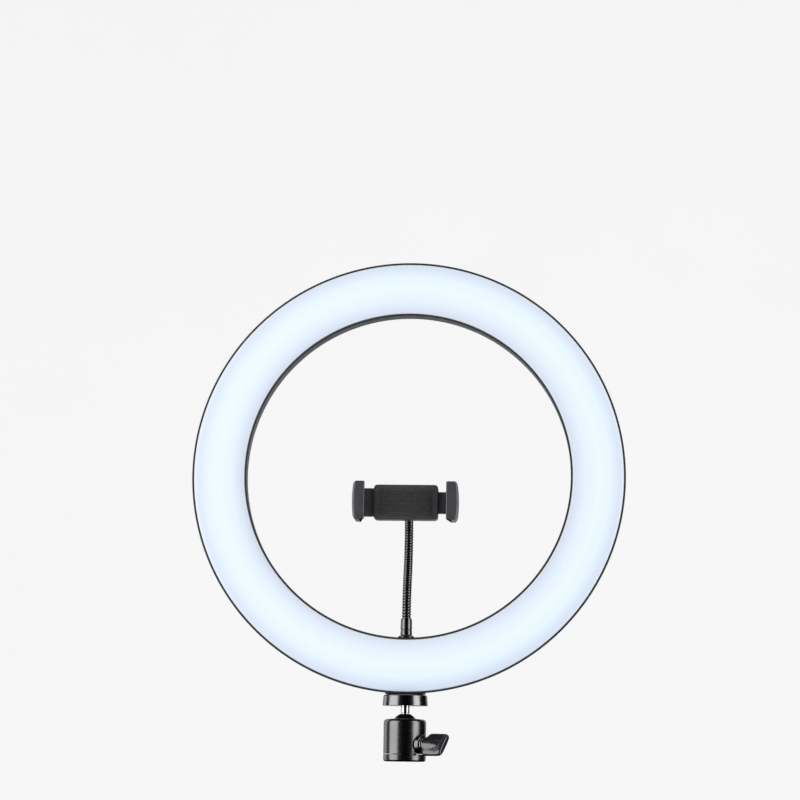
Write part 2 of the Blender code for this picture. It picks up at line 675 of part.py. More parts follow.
def make_neck_segment(number, body):
    """One rigid length of the neck, from 1 at the ring to 8 at the clamp."""
    start = 0.0 if number == 1 else neck_joint_travel(number - 1) + NECK_SPACE / 2
    end = neck_length() if number == NECK_SEGMENTS else neck_joint_travel(number) - NECK_SPACE / 2
    steps = 4
    travels = [start + (end - start) * k / steps for k in range(steps + 1)]
    sections = [tube_section(travel, NECK_RADIUS, 14) for travel in travels]
    name = f"neck_segment_{number}"
    origin = body.matrix_world.translation
    sections = [[point - origin for point in section] for section in sections]
    add_object(name, loft(sections), BLACK_METAL, body, Matrix.Translation(origin))


def make_neck_foot(body):
    """The flanged stud that screws into the ring, and the ferrule crimped on the neck's lower end."""
    flange = [
        (0, NECK_FOOT_Z - 6.4 * MM), (2.35 * MM, NECK_FOOT_Z - 6.4 * MM), (2.35 * MM, NECK_FOOT_Z),
        (6.2 * MM, NECK_FOOT_Z), (6.2 * MM, NECK_FOOT_Z + 0.6 * MM),
        (5.2 * MM, NECK_FOOT_Z + FLANGE_HEIGHT),
        (0, NECK_FOOT_Z + FLANGE_HEIGHT),
    ]
    add_object("neck_flange", lathe(flange, 28), BLACK_METAL, body)
    ferrule = [
        (0, FERRULE_BOTTOM), (FERRULE_RADIUS, FERRULE_BOTTOM),
        (FERRULE_RADIUS - 0.2 * MM, FERRULE_TOP - 1.0 * MM),
        (FERRULE_BORE + 0.2 * MM, FERRULE_TOP), (FERRULE_BORE, FERRULE_TOP),
        (FERRULE_BORE, FERRULE_TOP - NECK_SOCKET - GAP), (0, FERRULE_TOP - NECK_SOCKET - GAP),
    ]
    add_object("lower_ferrule", lathe(ferrule, 24), BLACK_METAL, body)


def make_neck_end(body):
    """The upper ferrule and the ball stud that it holds, on the clamp's axis along Y."""
    place = Matrix.Translation((0, 0, CLAMP_Z))
    start = CLAMP_BALL_Y + 10.5 * MM
    end = CLAMP_BALL_Y + 20.5 * MM
    inside = end - NECK_SOCKET - GAP
    ferrule = [
        (2.8 * MM, start), (FERRULE_RADIUS - 0.5 * MM, start), (FERRULE_RADIUS, start + 1.0 * MM),
        (FERRULE_RADIUS, end - 0.8 * MM), (FERRULE_BORE + 0.2 * MM, end), (FERRULE_BORE, end),
        (FERRULE_BORE, inside), (2.8 * MM, inside),
    ]
    add_object("upper_ferrule", lathe(ferrule, 24, "Y"), BLACK_METAL, body, place)
    radius, shank = CLAMP_BALL_RADIUS, 2.5 * MM
    neck_y = CLAMP_BALL_Y + sqrt(radius**2 - shank**2)
    ball = sphere_ring(radius, CLAMP_BALL_Y, CLAMP_BALL_Y - radius, neck_y, 9)
    ball[0] = (0, CLAMP_BALL_Y - radius)
    profile = ball + [(shank, inside - GAP), (0, inside - GAP)]
    add_object("clamp_ball", lathe(profile, 24, "Y"), STEEL, body, place)


# ---------------------------------------------------------------- phone clamp

def clamp_place():
    return Matrix.Translation((0, 0, CLAMP_Z))


def make_collar_nut(body):
    """The nut round the ball's socket. Its rear lip squeezes the socket on the ball."""
    front, rear = CLAMP_BALL_Y - 5.2 * MM, CLAMP_BALL_Y + 4.7 * MM
    profile = [
        (8.9 * MM, front), (10.4 * MM, front), (11.0 * MM, front + 0.6 * MM), (11.0 * MM, rear - 1.2 * MM),
        (9.8 * MM, rear), (6.7 * MM, rear), (6.7 * MM, rear - 1.2 * MM), (8.9 * MM, rear - 1.2 * MM),
    ]
    add_object("collar_nut", lathe(profile, ROUND_SIDES, "Y"), BLACK_PLASTIC, body, clamp_place())


def make_clamp_cover(body):
    """The clamp's rear shell, with the ball socket standing out of it."""
    outline = rounded_outline(CLAMP_HALF_WIDTH, CLAMP_HALF_HEIGHT, 3 * MM)
    cover = add_object("clamp_cover", plate(outline, CLAMP_JOIN_Y + 0.2 * MM, CLAMP_BACK_Y), BLACK_PLASTIC,
                       body, clamp_place())
    socket_end = CLAMP_BALL_Y + 3.1 * MM
    join(cover, rod(8.6 * MM, CLAMP_BACK_Y - 1.0 * MM, socket_end, ROUND_SIDES, "Y"), clamp_place())
    hollow = CLAMP_BALL_RADIUS + GAP
    bowl = sphere_ring(hollow, CLAMP_BALL_Y, CLAMP_BALL_Y - hollow, CLAMP_BALL_Y + 3.0 * MM, 8)
    bowl[0] = (0, CLAMP_BALL_Y - hollow)
    bowl += [(bowl[-1][0], socket_end + 2 * MM), (0, socket_end + 2 * MM)]
    cut(cover, lathe(bowl, ROUND_SIDES, "Y"), clamp_place())
    under, floor, outside = CLAMP_JOIN_Y - 1 * MM, CLAMP_BACK_Y - 1.3 * MM, CLAMP_BACK_Y + 1 * MM
    well = [
        (0, under), (1.1 * MM, under), (1.1 * MM, floor),
        (2.2 * MM, floor), (2.2 * MM, outside), (0, outside),
    ]
    cut(cover, copies((lathe(well, 14, "Y"), clamp_screw_places())))


def clamp_screw_places():
    spots = [(x * 18.5 * MM, CLAMP_Z + z * 10.7 * MM) for z in (1, -1) for x in (-1, 1)]
    return [Matrix.Translation((x, 0, z)) for x, z in spots]


def make_clamp_screws(body):
    seat = CLAMP_BACK_Y - 1.1 * MM
    profile = [
        (0, CLAMP_JOIN_Y - 3.4 * MM), (0.85 * MM, CLAMP_JOIN_Y - 3.4 * MM), (0.85 * MM, seat),
        (1.9 * MM, seat), (1.9 * MM, seat + 0.7 * MM), (0, seat + 1.0 * MM),
    ]
    for number, place in enumerate(clamp_screw_places()):
        add_object(f"clamp_screw_{number + 1}", lathe(profile, 14, "Y"), STEEL, body, place)


def jaw_hook(side):
    """The upright wall of a jaw and the lip in front of the phone. side is 1 at +X and -1 at -X.

    The outer face bulges: it draws in towards both ends, more at the very ends.
    """
    plan = (
        (JAW_INSIDE, -24.5 * MM, 0.0), (JAW_OUTSIDE - 2.0 * MM, -24.5 * MM, 0.6),
        (JAW_OUTSIDE, -26.5 * MM, 1.0), (JAW_OUTSIDE, -43.6 * MM, 1.0),
        (JAW_OUTSIDE - 1.4 * MM, LIP_FRONT_Y, 0.8), (LIP_INSIDE, LIP_FRONT_Y, 0.0),
        (LIP_INSIDE, LIP_BACK_Y, 0.0), (JAW_INSIDE, LIP_BACK_Y, 0.0),
    )
    # Share of the half height, and how far the outer face draws in there.
    levels = ((-1.0, 2.6), (-0.9, 1.1), (-0.5, 0.35), (0.0, 0.0), (0.5, 0.35), (0.92, 0.9), (1.0, 2.0))
    sections = []
    for share, pulled in levels:
        height = share * JAW_HALF_HEIGHT
        sections.append([(side * (x - pulled * MM * give), y, height) for x, y, give in plan])
    return loft(sections)


def make_clamp_frame(body):
    """The clamp's front shell with the fixed jaw at -X. Its cavity guides the sliding jaw's tongue."""
    outline = rounded_outline(CLAMP_HALF_WIDTH, CLAMP_HALF_HEIGHT, 3 * MM)
    frame = add_object("clamp_frame", plate(outline, CLAMP_FRONT_Y, CLAMP_JOIN_Y), BLACK_PLASTIC,
                       body, clamp_place())
    arm = block((-36.0 * MM, -31.6 * MM, -10.5 * MM), (-20.0 * MM, CLAMP_JOIN_Y - 0.1 * MM, 10.5 * MM))
    join(frame, arm, clamp_place())
    join(frame, jaw_hook(-1), clamp_place())
    low = (-21.5 * MM, CAVITY_FRONT_Y, -CAVITY_HALF_HEIGHT)
    cavity = block(low, (30 * MM, -20 * MM, CAVITY_HALF_HEIGHT))
    cut(frame, cavity, clamp_place())
    screw_hole = rod(1.1 * MM, CLAMP_JOIN_Y - 4 * MM, CLAMP_JOIN_Y + 1 * MM, 14, "Y")
    rod_hole = rod(1.4 * MM, -23.2 * MM, -20 * MM, 14, "X")
    cut(frame, copies((screw_hole, clamp_screw_places()), (rod_hole, guide_rod_places())))


def make_sliding_jaw(body):
    """The jaw at +X with its tongue, which is bored for the two guide rods and slotted for the spring."""
    half = CAVITY_HALF_HEIGHT - 0.4 * MM
    tongue = block((-9 * MM, CAVITY_FRONT_Y + 0.4 * MM, -half), (36 * MM, CLAMP_JOIN_Y - 0.5 * MM, half))
    jaw = add_object("sliding_jaw", tongue, BLACK_PLASTIC, body, clamp_place())
    join(jaw, jaw_hook(1), clamp_place())
    cut(jaw, copies((rod(1.5 * MM, -12 * MM, 31 * MM, 14, "X"), guide_rod_places())))
    slot = block((-12 * MM, -40 * MM, -2.7 * MM), (16 * MM, -20 * MM, 2.7 * MM))
    cut(jaw, slot, clamp_place())


def guide_rod_places():
    return [Matrix.Translation((0, SLIDE_Y, CLAMP_Z + z)) for z in (ROD_OFFSET, -ROD_OFFSET)]


def make_guide_rods(body):
    for number, place in enumerate(guide_rod_places()):
        guide = rod(1.15 * MM, -23 * MM, 20 * MM, 14, "X")
        add_object(f"guide_rod_{number + 1}", guide, STEEL, body, place)


def make_jaw_spring(body):
    """The extension spring in the tongue's slot, from the frame's end wall to the slot's end."""
    start, end, coil_radius, turns, points = -20.8 * MM, 15.3 * MM, 1.85 * MM, 7, 8
    count = turns * points
    curve = bpy.data.curves.new("jaw_spring", "CURVE")
    curve.dimensions = "3D"
    curve.bevel_depth = 0.35 * MM
    curve.bevel_resolution = 1
    curve.use_fill_caps = True
    spline = curve.splines.new("POLY")
    spline.points.add(count)
    for k, point in enumerate(spline.points):
        angle = 2 * pi * k / points
        along = start + (end - start) * k / count
        point.co = (along, coil_radius * cos(angle), coil_radius * sin(angle), 1.0)
    curve.materials.append(material(STEEL))
    spring = bpy.data.objects.new("jaw_spring", curve)
    bpy.context.scene.collection.objects.link(spring)
    spring.parent = body
    spring.matrix_world = Matrix.Translation((0, SLIDE_Y, CLAMP_Z))
    bpy.context.view_layer.update()


def make_pads(clamp, slider):
    """Rubber faces: one on each jaw, and one on the clamp's front."""
    jaw_face = rounded_outline(4.0 * MM, 12.2 * MM, 1.5 * MM)
    centre = ((CLAMP_FRONT_Y + LIP_BACK_Y) / 2, 0)
    fixed = plate(jaw_face, -(JAW_INSIDE - 0.2 * MM), -(JAW_INSIDE - 1.3 * MM), "X", centre)
    add_object("fixed_jaw_pad", fixed, RUBBER, clamp, clamp_place())
    moving = plate(jaw_face, JAW_INSIDE - 1.3 * MM, JAW_INSIDE - 0.2 * MM, "X", centre)
    add_object("sliding_jaw_pad", moving, RUBBER, slider, clamp_place())
    back = rounded_outline(19 * MM, 10 * MM, 2.5 * MM)
    add_object("back_pad", plate(back, CLAMP_FRONT_Y - 1.1 * MM, CLAMP_FRONT_Y - 0.2 * MM), RUBBER,
               clamp, clamp_place())


# ---------------------------------------------------------------- assembly

def build_ball_head():
    root = add_empty("head")
    make_base(root)
    make_housing(root)
    make_ball_collar(root)
    make_lift_plug(root)
    boss = knob_place() @ Vector((BOSS_END, 0, 0))
    knob = add_empty("lock_knob_turn", boss, root)
    make_lock_knob(knob)
    pan = add_empty("head_pan", (0, 0, BALL_Z), root)
    make_ball_seat(pan)
    tilt = add_empty("head_tilt", (0, 0, BALL_Z), pan)
    make_ball_and_stem(tilt)
    return tilt


def build_ring(tilt):
    ring = add_empty("ring_swivel", (0, 0, FOOT_Z), tilt)
    make_ring_frame(ring)
    make_rear_cover(ring)
    make_cover_screws(ring)
    make_diffuser(ring)
    for number in range(LED_BOARDS):
        make_led_board(number, ring)
    make_threaded_nuts(ring)
    make_inlet(ring)
    make_lead("lead_red", WIRE_RED, 1, ring)
    make_lead("lead_black", WIRE_BLACK, -1, ring)
    return ring


def build_neck(ring):
    make_neck_foot(ring)
    make_neck_segment(1, ring)
    body = ring
    for number in range(2, NECK_SEGMENTS + 1):
        joint, _ = neck_at(neck_joint_travel(number - 1))
        body = add_empty(f"neck_bend_{number - 1}", joint, body)
        make_neck_segment(number, body)
    make_neck_end(body)
    return body


def build_clamp(neck_end):
    ball_centre = (0, CLAMP_BALL_Y, CLAMP_Z)
    collar = add_empty("clamp_tilt", ball_centre, neck_end)
    make_collar_nut(collar)
    clamp = add_empty("clamp_turn", ball_centre, collar)
    make_clamp_cover(clamp)
    make_clamp_screws(clamp)
    make_clamp_frame(clamp)
    make_guide_rods(clamp)
    make_jaw_spring(clamp)
    slider = add_empty("jaw_slide", (JAW_INSIDE, SLIDE_Y, CLAMP_Z), clamp)
    make_sliding_jaw(slider)
    make_pads(clamp, slider)


clear_scene()
build_clamp(build_neck(build_ring(build_ball_head())))
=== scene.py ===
"""Looks for the ring light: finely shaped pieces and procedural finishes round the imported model.

Metres, +Z up, and the light faces -Y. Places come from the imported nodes' boxes.
"""

from math import atan2, cos, floor, hypot, pi, radians, sin, sqrt

import bmesh
import bpy
from mathutils import Matrix, Vector


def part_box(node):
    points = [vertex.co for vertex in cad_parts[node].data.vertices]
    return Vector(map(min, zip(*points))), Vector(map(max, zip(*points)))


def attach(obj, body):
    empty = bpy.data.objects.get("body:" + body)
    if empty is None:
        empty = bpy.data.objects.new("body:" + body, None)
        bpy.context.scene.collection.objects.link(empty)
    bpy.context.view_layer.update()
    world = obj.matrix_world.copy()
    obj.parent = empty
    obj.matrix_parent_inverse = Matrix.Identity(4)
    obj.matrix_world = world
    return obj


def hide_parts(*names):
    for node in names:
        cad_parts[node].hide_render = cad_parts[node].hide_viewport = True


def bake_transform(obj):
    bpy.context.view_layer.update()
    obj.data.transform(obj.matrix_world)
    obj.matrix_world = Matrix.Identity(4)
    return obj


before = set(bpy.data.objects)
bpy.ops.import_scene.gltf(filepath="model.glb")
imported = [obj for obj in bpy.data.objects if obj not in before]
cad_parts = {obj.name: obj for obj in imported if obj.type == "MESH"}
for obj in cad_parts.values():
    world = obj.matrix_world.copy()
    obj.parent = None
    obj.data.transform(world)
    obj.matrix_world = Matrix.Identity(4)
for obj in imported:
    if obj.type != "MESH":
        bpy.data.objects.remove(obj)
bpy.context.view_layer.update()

MM = 0.001
RING_SIDES = 288
SIDES = 96
SMALL_SIDES = 40
SMOOTH_ANGLE = radians(32)
PAPER = (0.965, 0.965, 0.968)
# The span that most of a noise texture's values lie in.
NOISE_LOW, NOISE_HIGH = 0.3, 0.7


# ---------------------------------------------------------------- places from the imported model

def box_middle(node):
    low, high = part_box(node)
    return (low + high) / 2


def box_radius(node):
    low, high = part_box(node)
    return (high.x - low.x) / 2


RING_CENTRE = Vector((0, 0, box_middle("rear_cover").z))
RING_WIDTH = 41.6 * MM
RING_WALL = 1.4 * MM
RING_LEAN = 0.8 * MM
RING_OUTER = box_radius("ring_frame")
RING_INNER = RING_OUTER - RING_WIDTH
RING_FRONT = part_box("ring_frame")[0].y
RING_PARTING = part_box("rear_cover")[0].y
RING_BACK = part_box("rear_cover")[1].y
RING_MIDDLE = (RING_OUTER + RING_INNER) / 2
FOOT_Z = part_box("ring_frame")[0].z

BALL_Z = 25.4 * MM
BALL_RADIUS = box_radius("ball")
HEAD_RADIUS = -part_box("head_housing")[0].x
KNOB_Z = 12.6 * MM
KNOB_SIDE = radians(-38)
WING_TURN = radians(35)
KNOB_AXIS = Matrix.Translation((0, 0, KNOB_Z)) @ Matrix.Rotation(KNOB_SIDE, 4, "Z")
WINGS = KNOB_AXIS @ Matrix.Rotation(pi / 2 - WING_TURN, 4, "X")

CLAMP = Matrix.Translation((0, 0, box_middle("clamp_cover").z))
CLAMP_BALL_Y = -16.3 * MM


# ---------------------------------------------------------------- mesh tools

def axis_point(across, up, along, axis):
    """A point with a height along the named axis and two coordinates across it."""
    if axis == "Z":
        return Vector((across, up, along))
    if axis == "Y":
        return Vector((across, along, up))
    return Vector((along, across, up))


def soften(corners, steps=5):
    """A loop of (a, b, reach) corners as points. Each corner is rounded over its reach."""
    points = []
    for k, (a, b, reach) in enumerate(corners):
        here = Vector((a, b))
        if reach <= 0:
            points.append(here)
            continue
        before = Vector(corners[k - 1][:2])
        after = Vector(corners[(k + 1) % len(corners)][:2])
        start = here + (before - here).normalized() * reach
        end = here + (after - here).normalized() * reach
        for step in range(steps + 1):
            t = step / steps
            points.append(start.lerp(here, t).lerp(here.lerp(end, t), t))
    return points


def in_mm(corners):
    return [tuple(value * MM for value in corner) for corner in corners]


def lathe(profile, sides=SIDES, axis="Z", wave=None):
    """Turned solid from a loop of (radius, height) points. wave(angle, radius, height) shifts radii."""
    bm = bmesh.new()
    rings = []
    for radius, height in profile:
        if radius < 1e-9:
            rings.append([bm.verts.new(axis_point(0, 0, height, axis))] * sides)
            continue
        ring = []
        for k in range(sides):
            angle = 2 * pi * k / sides
            reach = radius + (wave(angle, radius, height) if wave else 0.0)
            place = axis_point(reach * cos(angle), reach * sin(angle), height, axis)
            ring.append(bm.verts.new(place))
        rings.append(ring)
    for here, there in zip(rings, rings[1:] + rings[:1]):
        for k in range(sides):
            after = (k + 1) % sides
            corners = list(dict.fromkeys((here[k], here[after], there[after], there[k])))
            if len(corners) > 2:
                bm.faces.new(corners)
    return bm


def loft(sections, capped=True):
    """Skin through loops of points."""
    bm = bmesh.new()
    loops = [[bm.verts.new(point) for point in section] for section in sections]
    for here, there in zip(loops, loops[1:]):
        for k in range(len(here)):
            after = (k + 1) % len(here)
            bm.faces.new((here[k], here[after], there[after], there[k]))
    if capped:
        bm.faces.new(loops[0])
        bm.faces.new(loops[-1])
    return bm


def inset(outline, distance):
    """Moves an anticlockwise outline's points inwards."""
    count = len(outline)
    moved = []
    for k, here in enumerate(outline):
        along = (outline[(k + 1) % count] - outline[k - 1]).normalized()
        moved.append(here + Vector((-along.y, along.x)) * distance)
    return moved


def rectangle(half_a, half_b, corner, steps=6):
    a, b = half_a, half_b
    return soften([(a, -b, corner), (a, b, corner), (-a, b, corner), (-a, -b, corner)], steps)


def slab(outline, start, end, edge, axis="Y"):
    """An outline made solid between two heights, with both rims rounded."""
    steps = 4
    rim = []
    for k in range(steps + 1):
        turn = pi / 2 * k / steps
        rim.append((edge * (1 - sin(turn)), edge * (1 - cos(turn))))
    heights = [(start + rise, pulled) for rise, pulled in reversed(rim)]
    heights.append((start + edge + (end - start - 2 * edge) / 2, 0.0))
    heights += [(end - rise, pulled) for rise, pulled in rim]
    sections = []
    for height, pulled in heights:
        sections.append([axis_point(*point, height, axis) for point in inset(outline, pulled)])
    return loft(sections)


def merged(*parts):
    """Several meshes as one mesh of separate shells. A part is a mesh, or a mesh and its places."""
    made = bmesh.new()
    for part in parts:
        bm, places = part if isinstance(part, tuple) else (part, [Matrix.Identity(4)])
        bmesh.ops.recalc_face_normals(bm, faces=bm.faces)
        mesh = bpy.data.meshes.new("part")
        bm.to_mesh(mesh)
        bm.free()
        for place in places:
            start = len(made.verts)
            made.from_mesh(mesh)
            made.verts.ensure_lookup_table()
            bmesh.ops.transform(made, matrix=place, verts=made.verts[start:])
        bpy.data.meshes.remove(mesh)
    return made


def carve(bm, cutter):
    """bm with the cutter's solid taken out of it."""
    objects = []
    for number, source in enumerate((bm, cutter)):
        bmesh.ops.recalc_face_normals(source, faces=source.faces)
        mesh = bpy.data.meshes.new(f"carving_{number}")
        source.to_mesh(mesh)
        source.free()
        obj = bpy.data.objects.new(f"carving_{number}", mesh)
        bpy.context.scene.collection.objects.link(obj)
        objects.append(obj)
    body, tool = objects
    modifier = body.modifiers.new("Carve", "BOOLEAN")
    modifier.operation = "DIFFERENCE"
    modifier.solver = "EXACT"
    modifier.object = tool
    bpy.context.view_layer.update()
    result = body.evaluated_get(bpy.context.evaluated_depsgraph_get()).to_mesh()
    made = bmesh.new()
    made.from_mesh(result)
    for obj in objects:
        mesh = obj.data
        bpy.data.objects.remove(obj)
        bpy.data.meshes.remove(mesh)
    return made


def block(low, high, edge=0.02 * MM):
    """A box with rounded edges. Its corners along Y are rounder, so that the rims can pull in."""
    middle = (Vector(low) + Vector(high)) / 2
    half = (Vector(high) - Vector(low)) / 2
    centre = Vector((middle.x, middle.z))
    outline = [point + centre for point in rectangle(half.x, half.z, edge * 2)]
    return slab(outline, low[1], high[1], edge)


def add_piece(name, bm, finish, body, replaced=(), place=None, subdivisions=0):
    """Links a mesh as a piece that rides on a body and stands for the named nodes."""
    bmesh.ops.recalc_face_normals(bm, faces=bm.faces)
    if place:
        bmesh.ops.transform(bm, matrix=place, verts=bm.verts)
    mesh = bpy.data.meshes.new(name)
    bm.to_mesh(mesh)
    bm.free()
    mesh.materials.append(finish)
    mesh.shade_smooth()
    if not subdivisions:
        mesh.set_sharp_from_angle(angle=SMOOTH_ANGLE)
    piece = bpy.data.objects.new(name, mesh)
    bpy.context.scene.collection.objects.link(piece)
    if subdivisions:
        modifier = piece.modifiers.new("Subdivision", "SUBSURF")
        modifier.levels = subdivisions
        modifier.render_levels = subdivisions
    if body:
        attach(piece, body)
    if replaced:
        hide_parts(*replaced)
    return piece


# ---------------------------------------------------------------- finishes

def new_finish(name, colour, roughness, metallic=0.0, specular=0.5):
    made = bpy.data.materials.new(name)
    made.use_nodes = True
    shader = made.node_tree.nodes["Principled BSDF"]
    shader.inputs["Base Color"].default_value = (*colour, 1.0)
    shader.inputs["Roughness"].default_value = roughness
    shader.inputs["Metallic"].default_value = metallic
    shader.inputs["Specular IOR Level"].default_value = specular
    return made


def noise(made, scale, stretch=(1, 1, 1), detail=3.0):
    """Noise over the piece's own coordinates. scale counts features in a metre."""
    nodes, links = made.node_tree.nodes, made.node_tree.links
    place = nodes.new("ShaderNodeTexCoord")
    mapping = nodes.new("ShaderNodeMapping")
    mapping.inputs["Scale"].default_value = stretch
    texture = nodes.new("ShaderNodeTexNoise")
    texture.inputs["Scale"].default_value = scale
    texture.inputs["Detail"].default_value = detail
    links.new(place.outputs["Object"], mapping.inputs["Vector"])
    links.new(mapping.outputs["Vector"], texture.inputs["Vector"])
    return texture.outputs[0]


def ramp(made, value, stops):
    """A colour for each value, from (value, colour) stops."""
    node = made.node_tree.nodes.new("ShaderNodeValToRGB")
    elements = node.color_ramp.elements
    while len(elements) < len(stops):
        elements.new(0.5)
    for element, (position, colour) in zip(elements, stops):
        element.position = position
        element.color = (*colour, 1.0)
    made.node_tree.links.new(value, node.inputs["Fac"])
    return node.outputs["Color"]


def mottle(made, value, dark, light):
    """Varies the base colour between two colours."""
    shader = made.node_tree.nodes["Principled BSDF"]
    colour = ramp(made, value, ((NOISE_LOW, dark), (NOISE_HIGH, light)))
    made.node_tree.links.new(colour, shader.inputs["Base Color"])


def vary_roughness(made, value, low, high):
    nodes, links = made.node_tree.nodes, made.node_tree.links
    span = nodes.new("ShaderNodeMapRange")
    span.inputs["From Min"].default_value = NOISE_LOW
    span.inputs["From Max"].default_value = NOISE_HIGH
    span.inputs["To Min"].default_value = low
    span.inputs["To Max"].default_value = high
    links.new(value, span.inputs["Value"])
    links.new(span.outputs["Result"], nodes["Principled BSDF"].inputs["Roughness"])


def relief(made, value, depth, strength):
    """Bumps of a depth in metres."""
    nodes, links = made.node_tree.nodes, made.node_tree.links
    bump = nodes.new("ShaderNodeBump")
    bump.inputs["Strength"].default_value = strength
    bump.inputs["Distance"].default_value = depth
    links.new(value, bump.inputs["Height"])
    links.new(bump.outputs["Normal"], nodes["Principled BSDF"].inputs["Normal"])


def moulded_plastic(name, dark, light, roughness, grain=0.35, specular=0.5):
    """Black plastic with a fine spark-eroded grain and slightly uneven gloss."""
    made = new_finish(name, dark, roughness, 0.0, specular)
    mottle(made, noise(made, 260, detail=5.0), dark, light)
    vary_roughness(made, noise(made, 90), roughness - 0.05, roughness + 0.06)
    relief(made, noise(made, 2600, detail=2.0), 0.04 * MM, grain)
    return made


def gloss_paint(name, dark, light, roughness):
    """Smooth black lacquer with faint orange peel."""
    made = new_finish(name, dark, roughness, 0.0, 0.7)
    shader = made.node_tree.nodes["Principled BSDF"]
    shader.inputs["Coat Weight"].default_value = 0.6
    shader.inputs["Coat Roughness"].default_value = 0.10
    mottle(made, noise(made, 120), dark, light)
    vary_roughness(made, noise(made, 300), roughness - 0.04, roughness + 0.05)
    relief(made, noise(made, 700, detail=1.0), 0.01 * MM, 0.15)
    return made


def turned_metal(name, dark, light, roughness, stretch, lines=0.08):
    """Metal with fine turning lines. stretch is large along the axis that the lines run round."""
    made = new_finish(name, light, roughness, 1.0)
    mottle(made, noise(made, 60, detail=4.0), dark, light)
    vary_roughness(made, noise(made, 140, stretch, 2.0), roughness - 0.03, roughness + 0.03)
    relief(made, noise(made, 400, stretch, 1.0), 0.004 * MM, lines)
    return made


def rubber_finish():
    """Matt rubber with a pebbled skin."""
    made = new_finish("rubber_skin", (0.02, 0.02, 0.021), 0.8, 0.0, 0.35)
    mottle(made, noise(made, 400, detail=4.0), (0.016, 0.016, 0.017), (0.03, 0.03, 0.031))
    vary_roughness(made, noise(made, 500), 0.7, 0.88)
    relief(made, noise(made, 1500, detail=2.0), 0.08 * MM, 0.5)
    return made


def board_finish():
    """White solder mask with faint mottling."""
    made = new_finish("board_skin", (0.8, 0.81, 0.79), 0.45)
    mottle(made, noise(made, 180, detail=5.0), (0.74, 0.75, 0.72), (0.86, 0.87, 0.85))
    relief(made, noise(made, 900), 0.03 * MM, 0.3)
    return made


def wire_finish(name, dark, light):
    made = new_finish(name, dark, 0.4)
    mottle(made, noise(made, 600), dark, light)
    relief(made, noise(made, 1200), 0.02 * MM, 0.2)
    return made


# How far along from the inner rim to the outer one, and the light's colour there.
GLOW_STOPS = (
    (0.04, (0.21, 0.26, 0.34)),
    (0.14, (0.26, 0.33, 0.45)),
    (0.27, (0.32, 0.40, 0.50)),
    (0.50, (0.36, 0.45, 0.51)),
    (0.73, (0.32, 0.42, 0.50)),
    (0.81, (0.28, 0.365, 0.48)),
    (0.91, (0.22, 0.29, 0.40)),
    (0.97, (0.22, 0.28, 0.37)),
)


def diffuser_finish():
    """Milky acrylic lit from behind: brightest along the middle of the ring and bluer at its rims."""
    made = new_finish("milky_acrylic_lit", (0.32, 0.33, 0.34), 0.42)
    nodes, links = made.node_tree.nodes, made.node_tree.links
    shader = nodes["Principled BSDF"]
    place = nodes.new("ShaderNodeTexCoord")
    mapping = nodes.new("ShaderNodeMapping")
    mapping.inputs["Location"].default_value = (0, 0, -RING_CENTRE.z)
    flatten = nodes.new("ShaderNodeVectorMath")
    flatten.operation = "MULTIPLY"
    flatten.inputs[1].default_value = (1, 0, 1)
    reach = nodes.new("ShaderNodeVectorMath")
    reach.operation = "LENGTH"
    span = nodes.new("ShaderNodeMapRange")
    span.inputs["From Min"].default_value = RING_INNER + RING_WALL
    span.inputs["From Max"].default_value = RING_OUTER - RING_WALL
    links.new(place.outputs["Object"], mapping.inputs["Vector"])
    links.new(mapping.outputs["Vector"], flatten.inputs[0])
    links.new(flatten.outputs["Vector"], reach.inputs[0])
    links.new(reach.outputs["Value"], span.inputs["Value"])
    links.new(ramp(made, span.outputs["Result"], GLOW_STOPS), shader.inputs["Emission Color"])
    shader.inputs["Emission Strength"].default_value = 1.0
    vary_roughness(made, noise(made, 400), 0.38, 0.46)
    relief(made, noise(made, 1800, detail=2.0), 0.01 * MM, 0.1)
    return made


SHELL = moulded_plastic("shell_plastic", (0.016, 0.016, 0.017), (0.024, 0.024, 0.026), 0.42)
CLAMP_PLASTIC = moulded_plastic(
    "clamp_plastic", (0.030, 0.030, 0.034), (0.040, 0.040, 0.045), 0.33, grain=0.2, specular=0.8)
KNOB_PLASTIC = moulded_plastic(
    "knob_plastic", (0.007, 0.007, 0.008), (0.012, 0.012, 0.013), 0.20, grain=0.04, specular=1.0)
GLOSS = gloss_paint("gloss_black_paint", (0.008, 0.008, 0.009), (0.014, 0.014, 0.015), 0.16)
HEAD_METAL = turned_metal(
    "head_black_metal", (0.115, 0.115, 0.118), (0.14, 0.14, 0.143), 0.24, (1, 1, 14))
DISC_METAL = turned_metal(
    "disc_black_metal", (0.16, 0.16, 0.162), (0.19, 0.19, 0.192), 0.20, (1, 1, 10))
NECK_METAL = turned_metal(
    "neck_black_metal", (0.10, 0.10, 0.103), (0.13, 0.13, 0.133), 0.26, (1, 1, 6))
STEEL = turned_metal("turned_steel", (0.50, 0.50, 0.52), (0.66, 0.66, 0.68), 0.20, (1, 1, 14))
SCREW_STEEL = turned_metal("blackened_screw", (0.10, 0.10, 0.10), (0.2, 0.2, 0.2), 0.3, (1, 1, 1))
BRASS = turned_metal("turned_brass", (0.55, 0.38, 0.14), (0.74, 0.55, 0.25), 0.3, (1, 1, 10))
RUBBER = rubber_finish()
NYLON = moulded_plastic("grey_nylon", (0.10, 0.10, 0.105), (0.15, 0.15, 0.155), 0.42, 0.2)
BOARD = board_finish()
WIRE_RED = wire_finish("red_wire", (0.45, 0.02, 0.02), (0.6, 0.04, 0.04))
WIRE_BLACK = wire_finish("black_wire", (0.012, 0.012, 0.012), (0.03, 0.03, 0.03))
DIFFUSER = diffuser_finish()


# ---------------------------------------------------------------- ring

COVER_SCREWS = 6


def ring_place():
    return Matrix.Translation(RING_CENTRE)


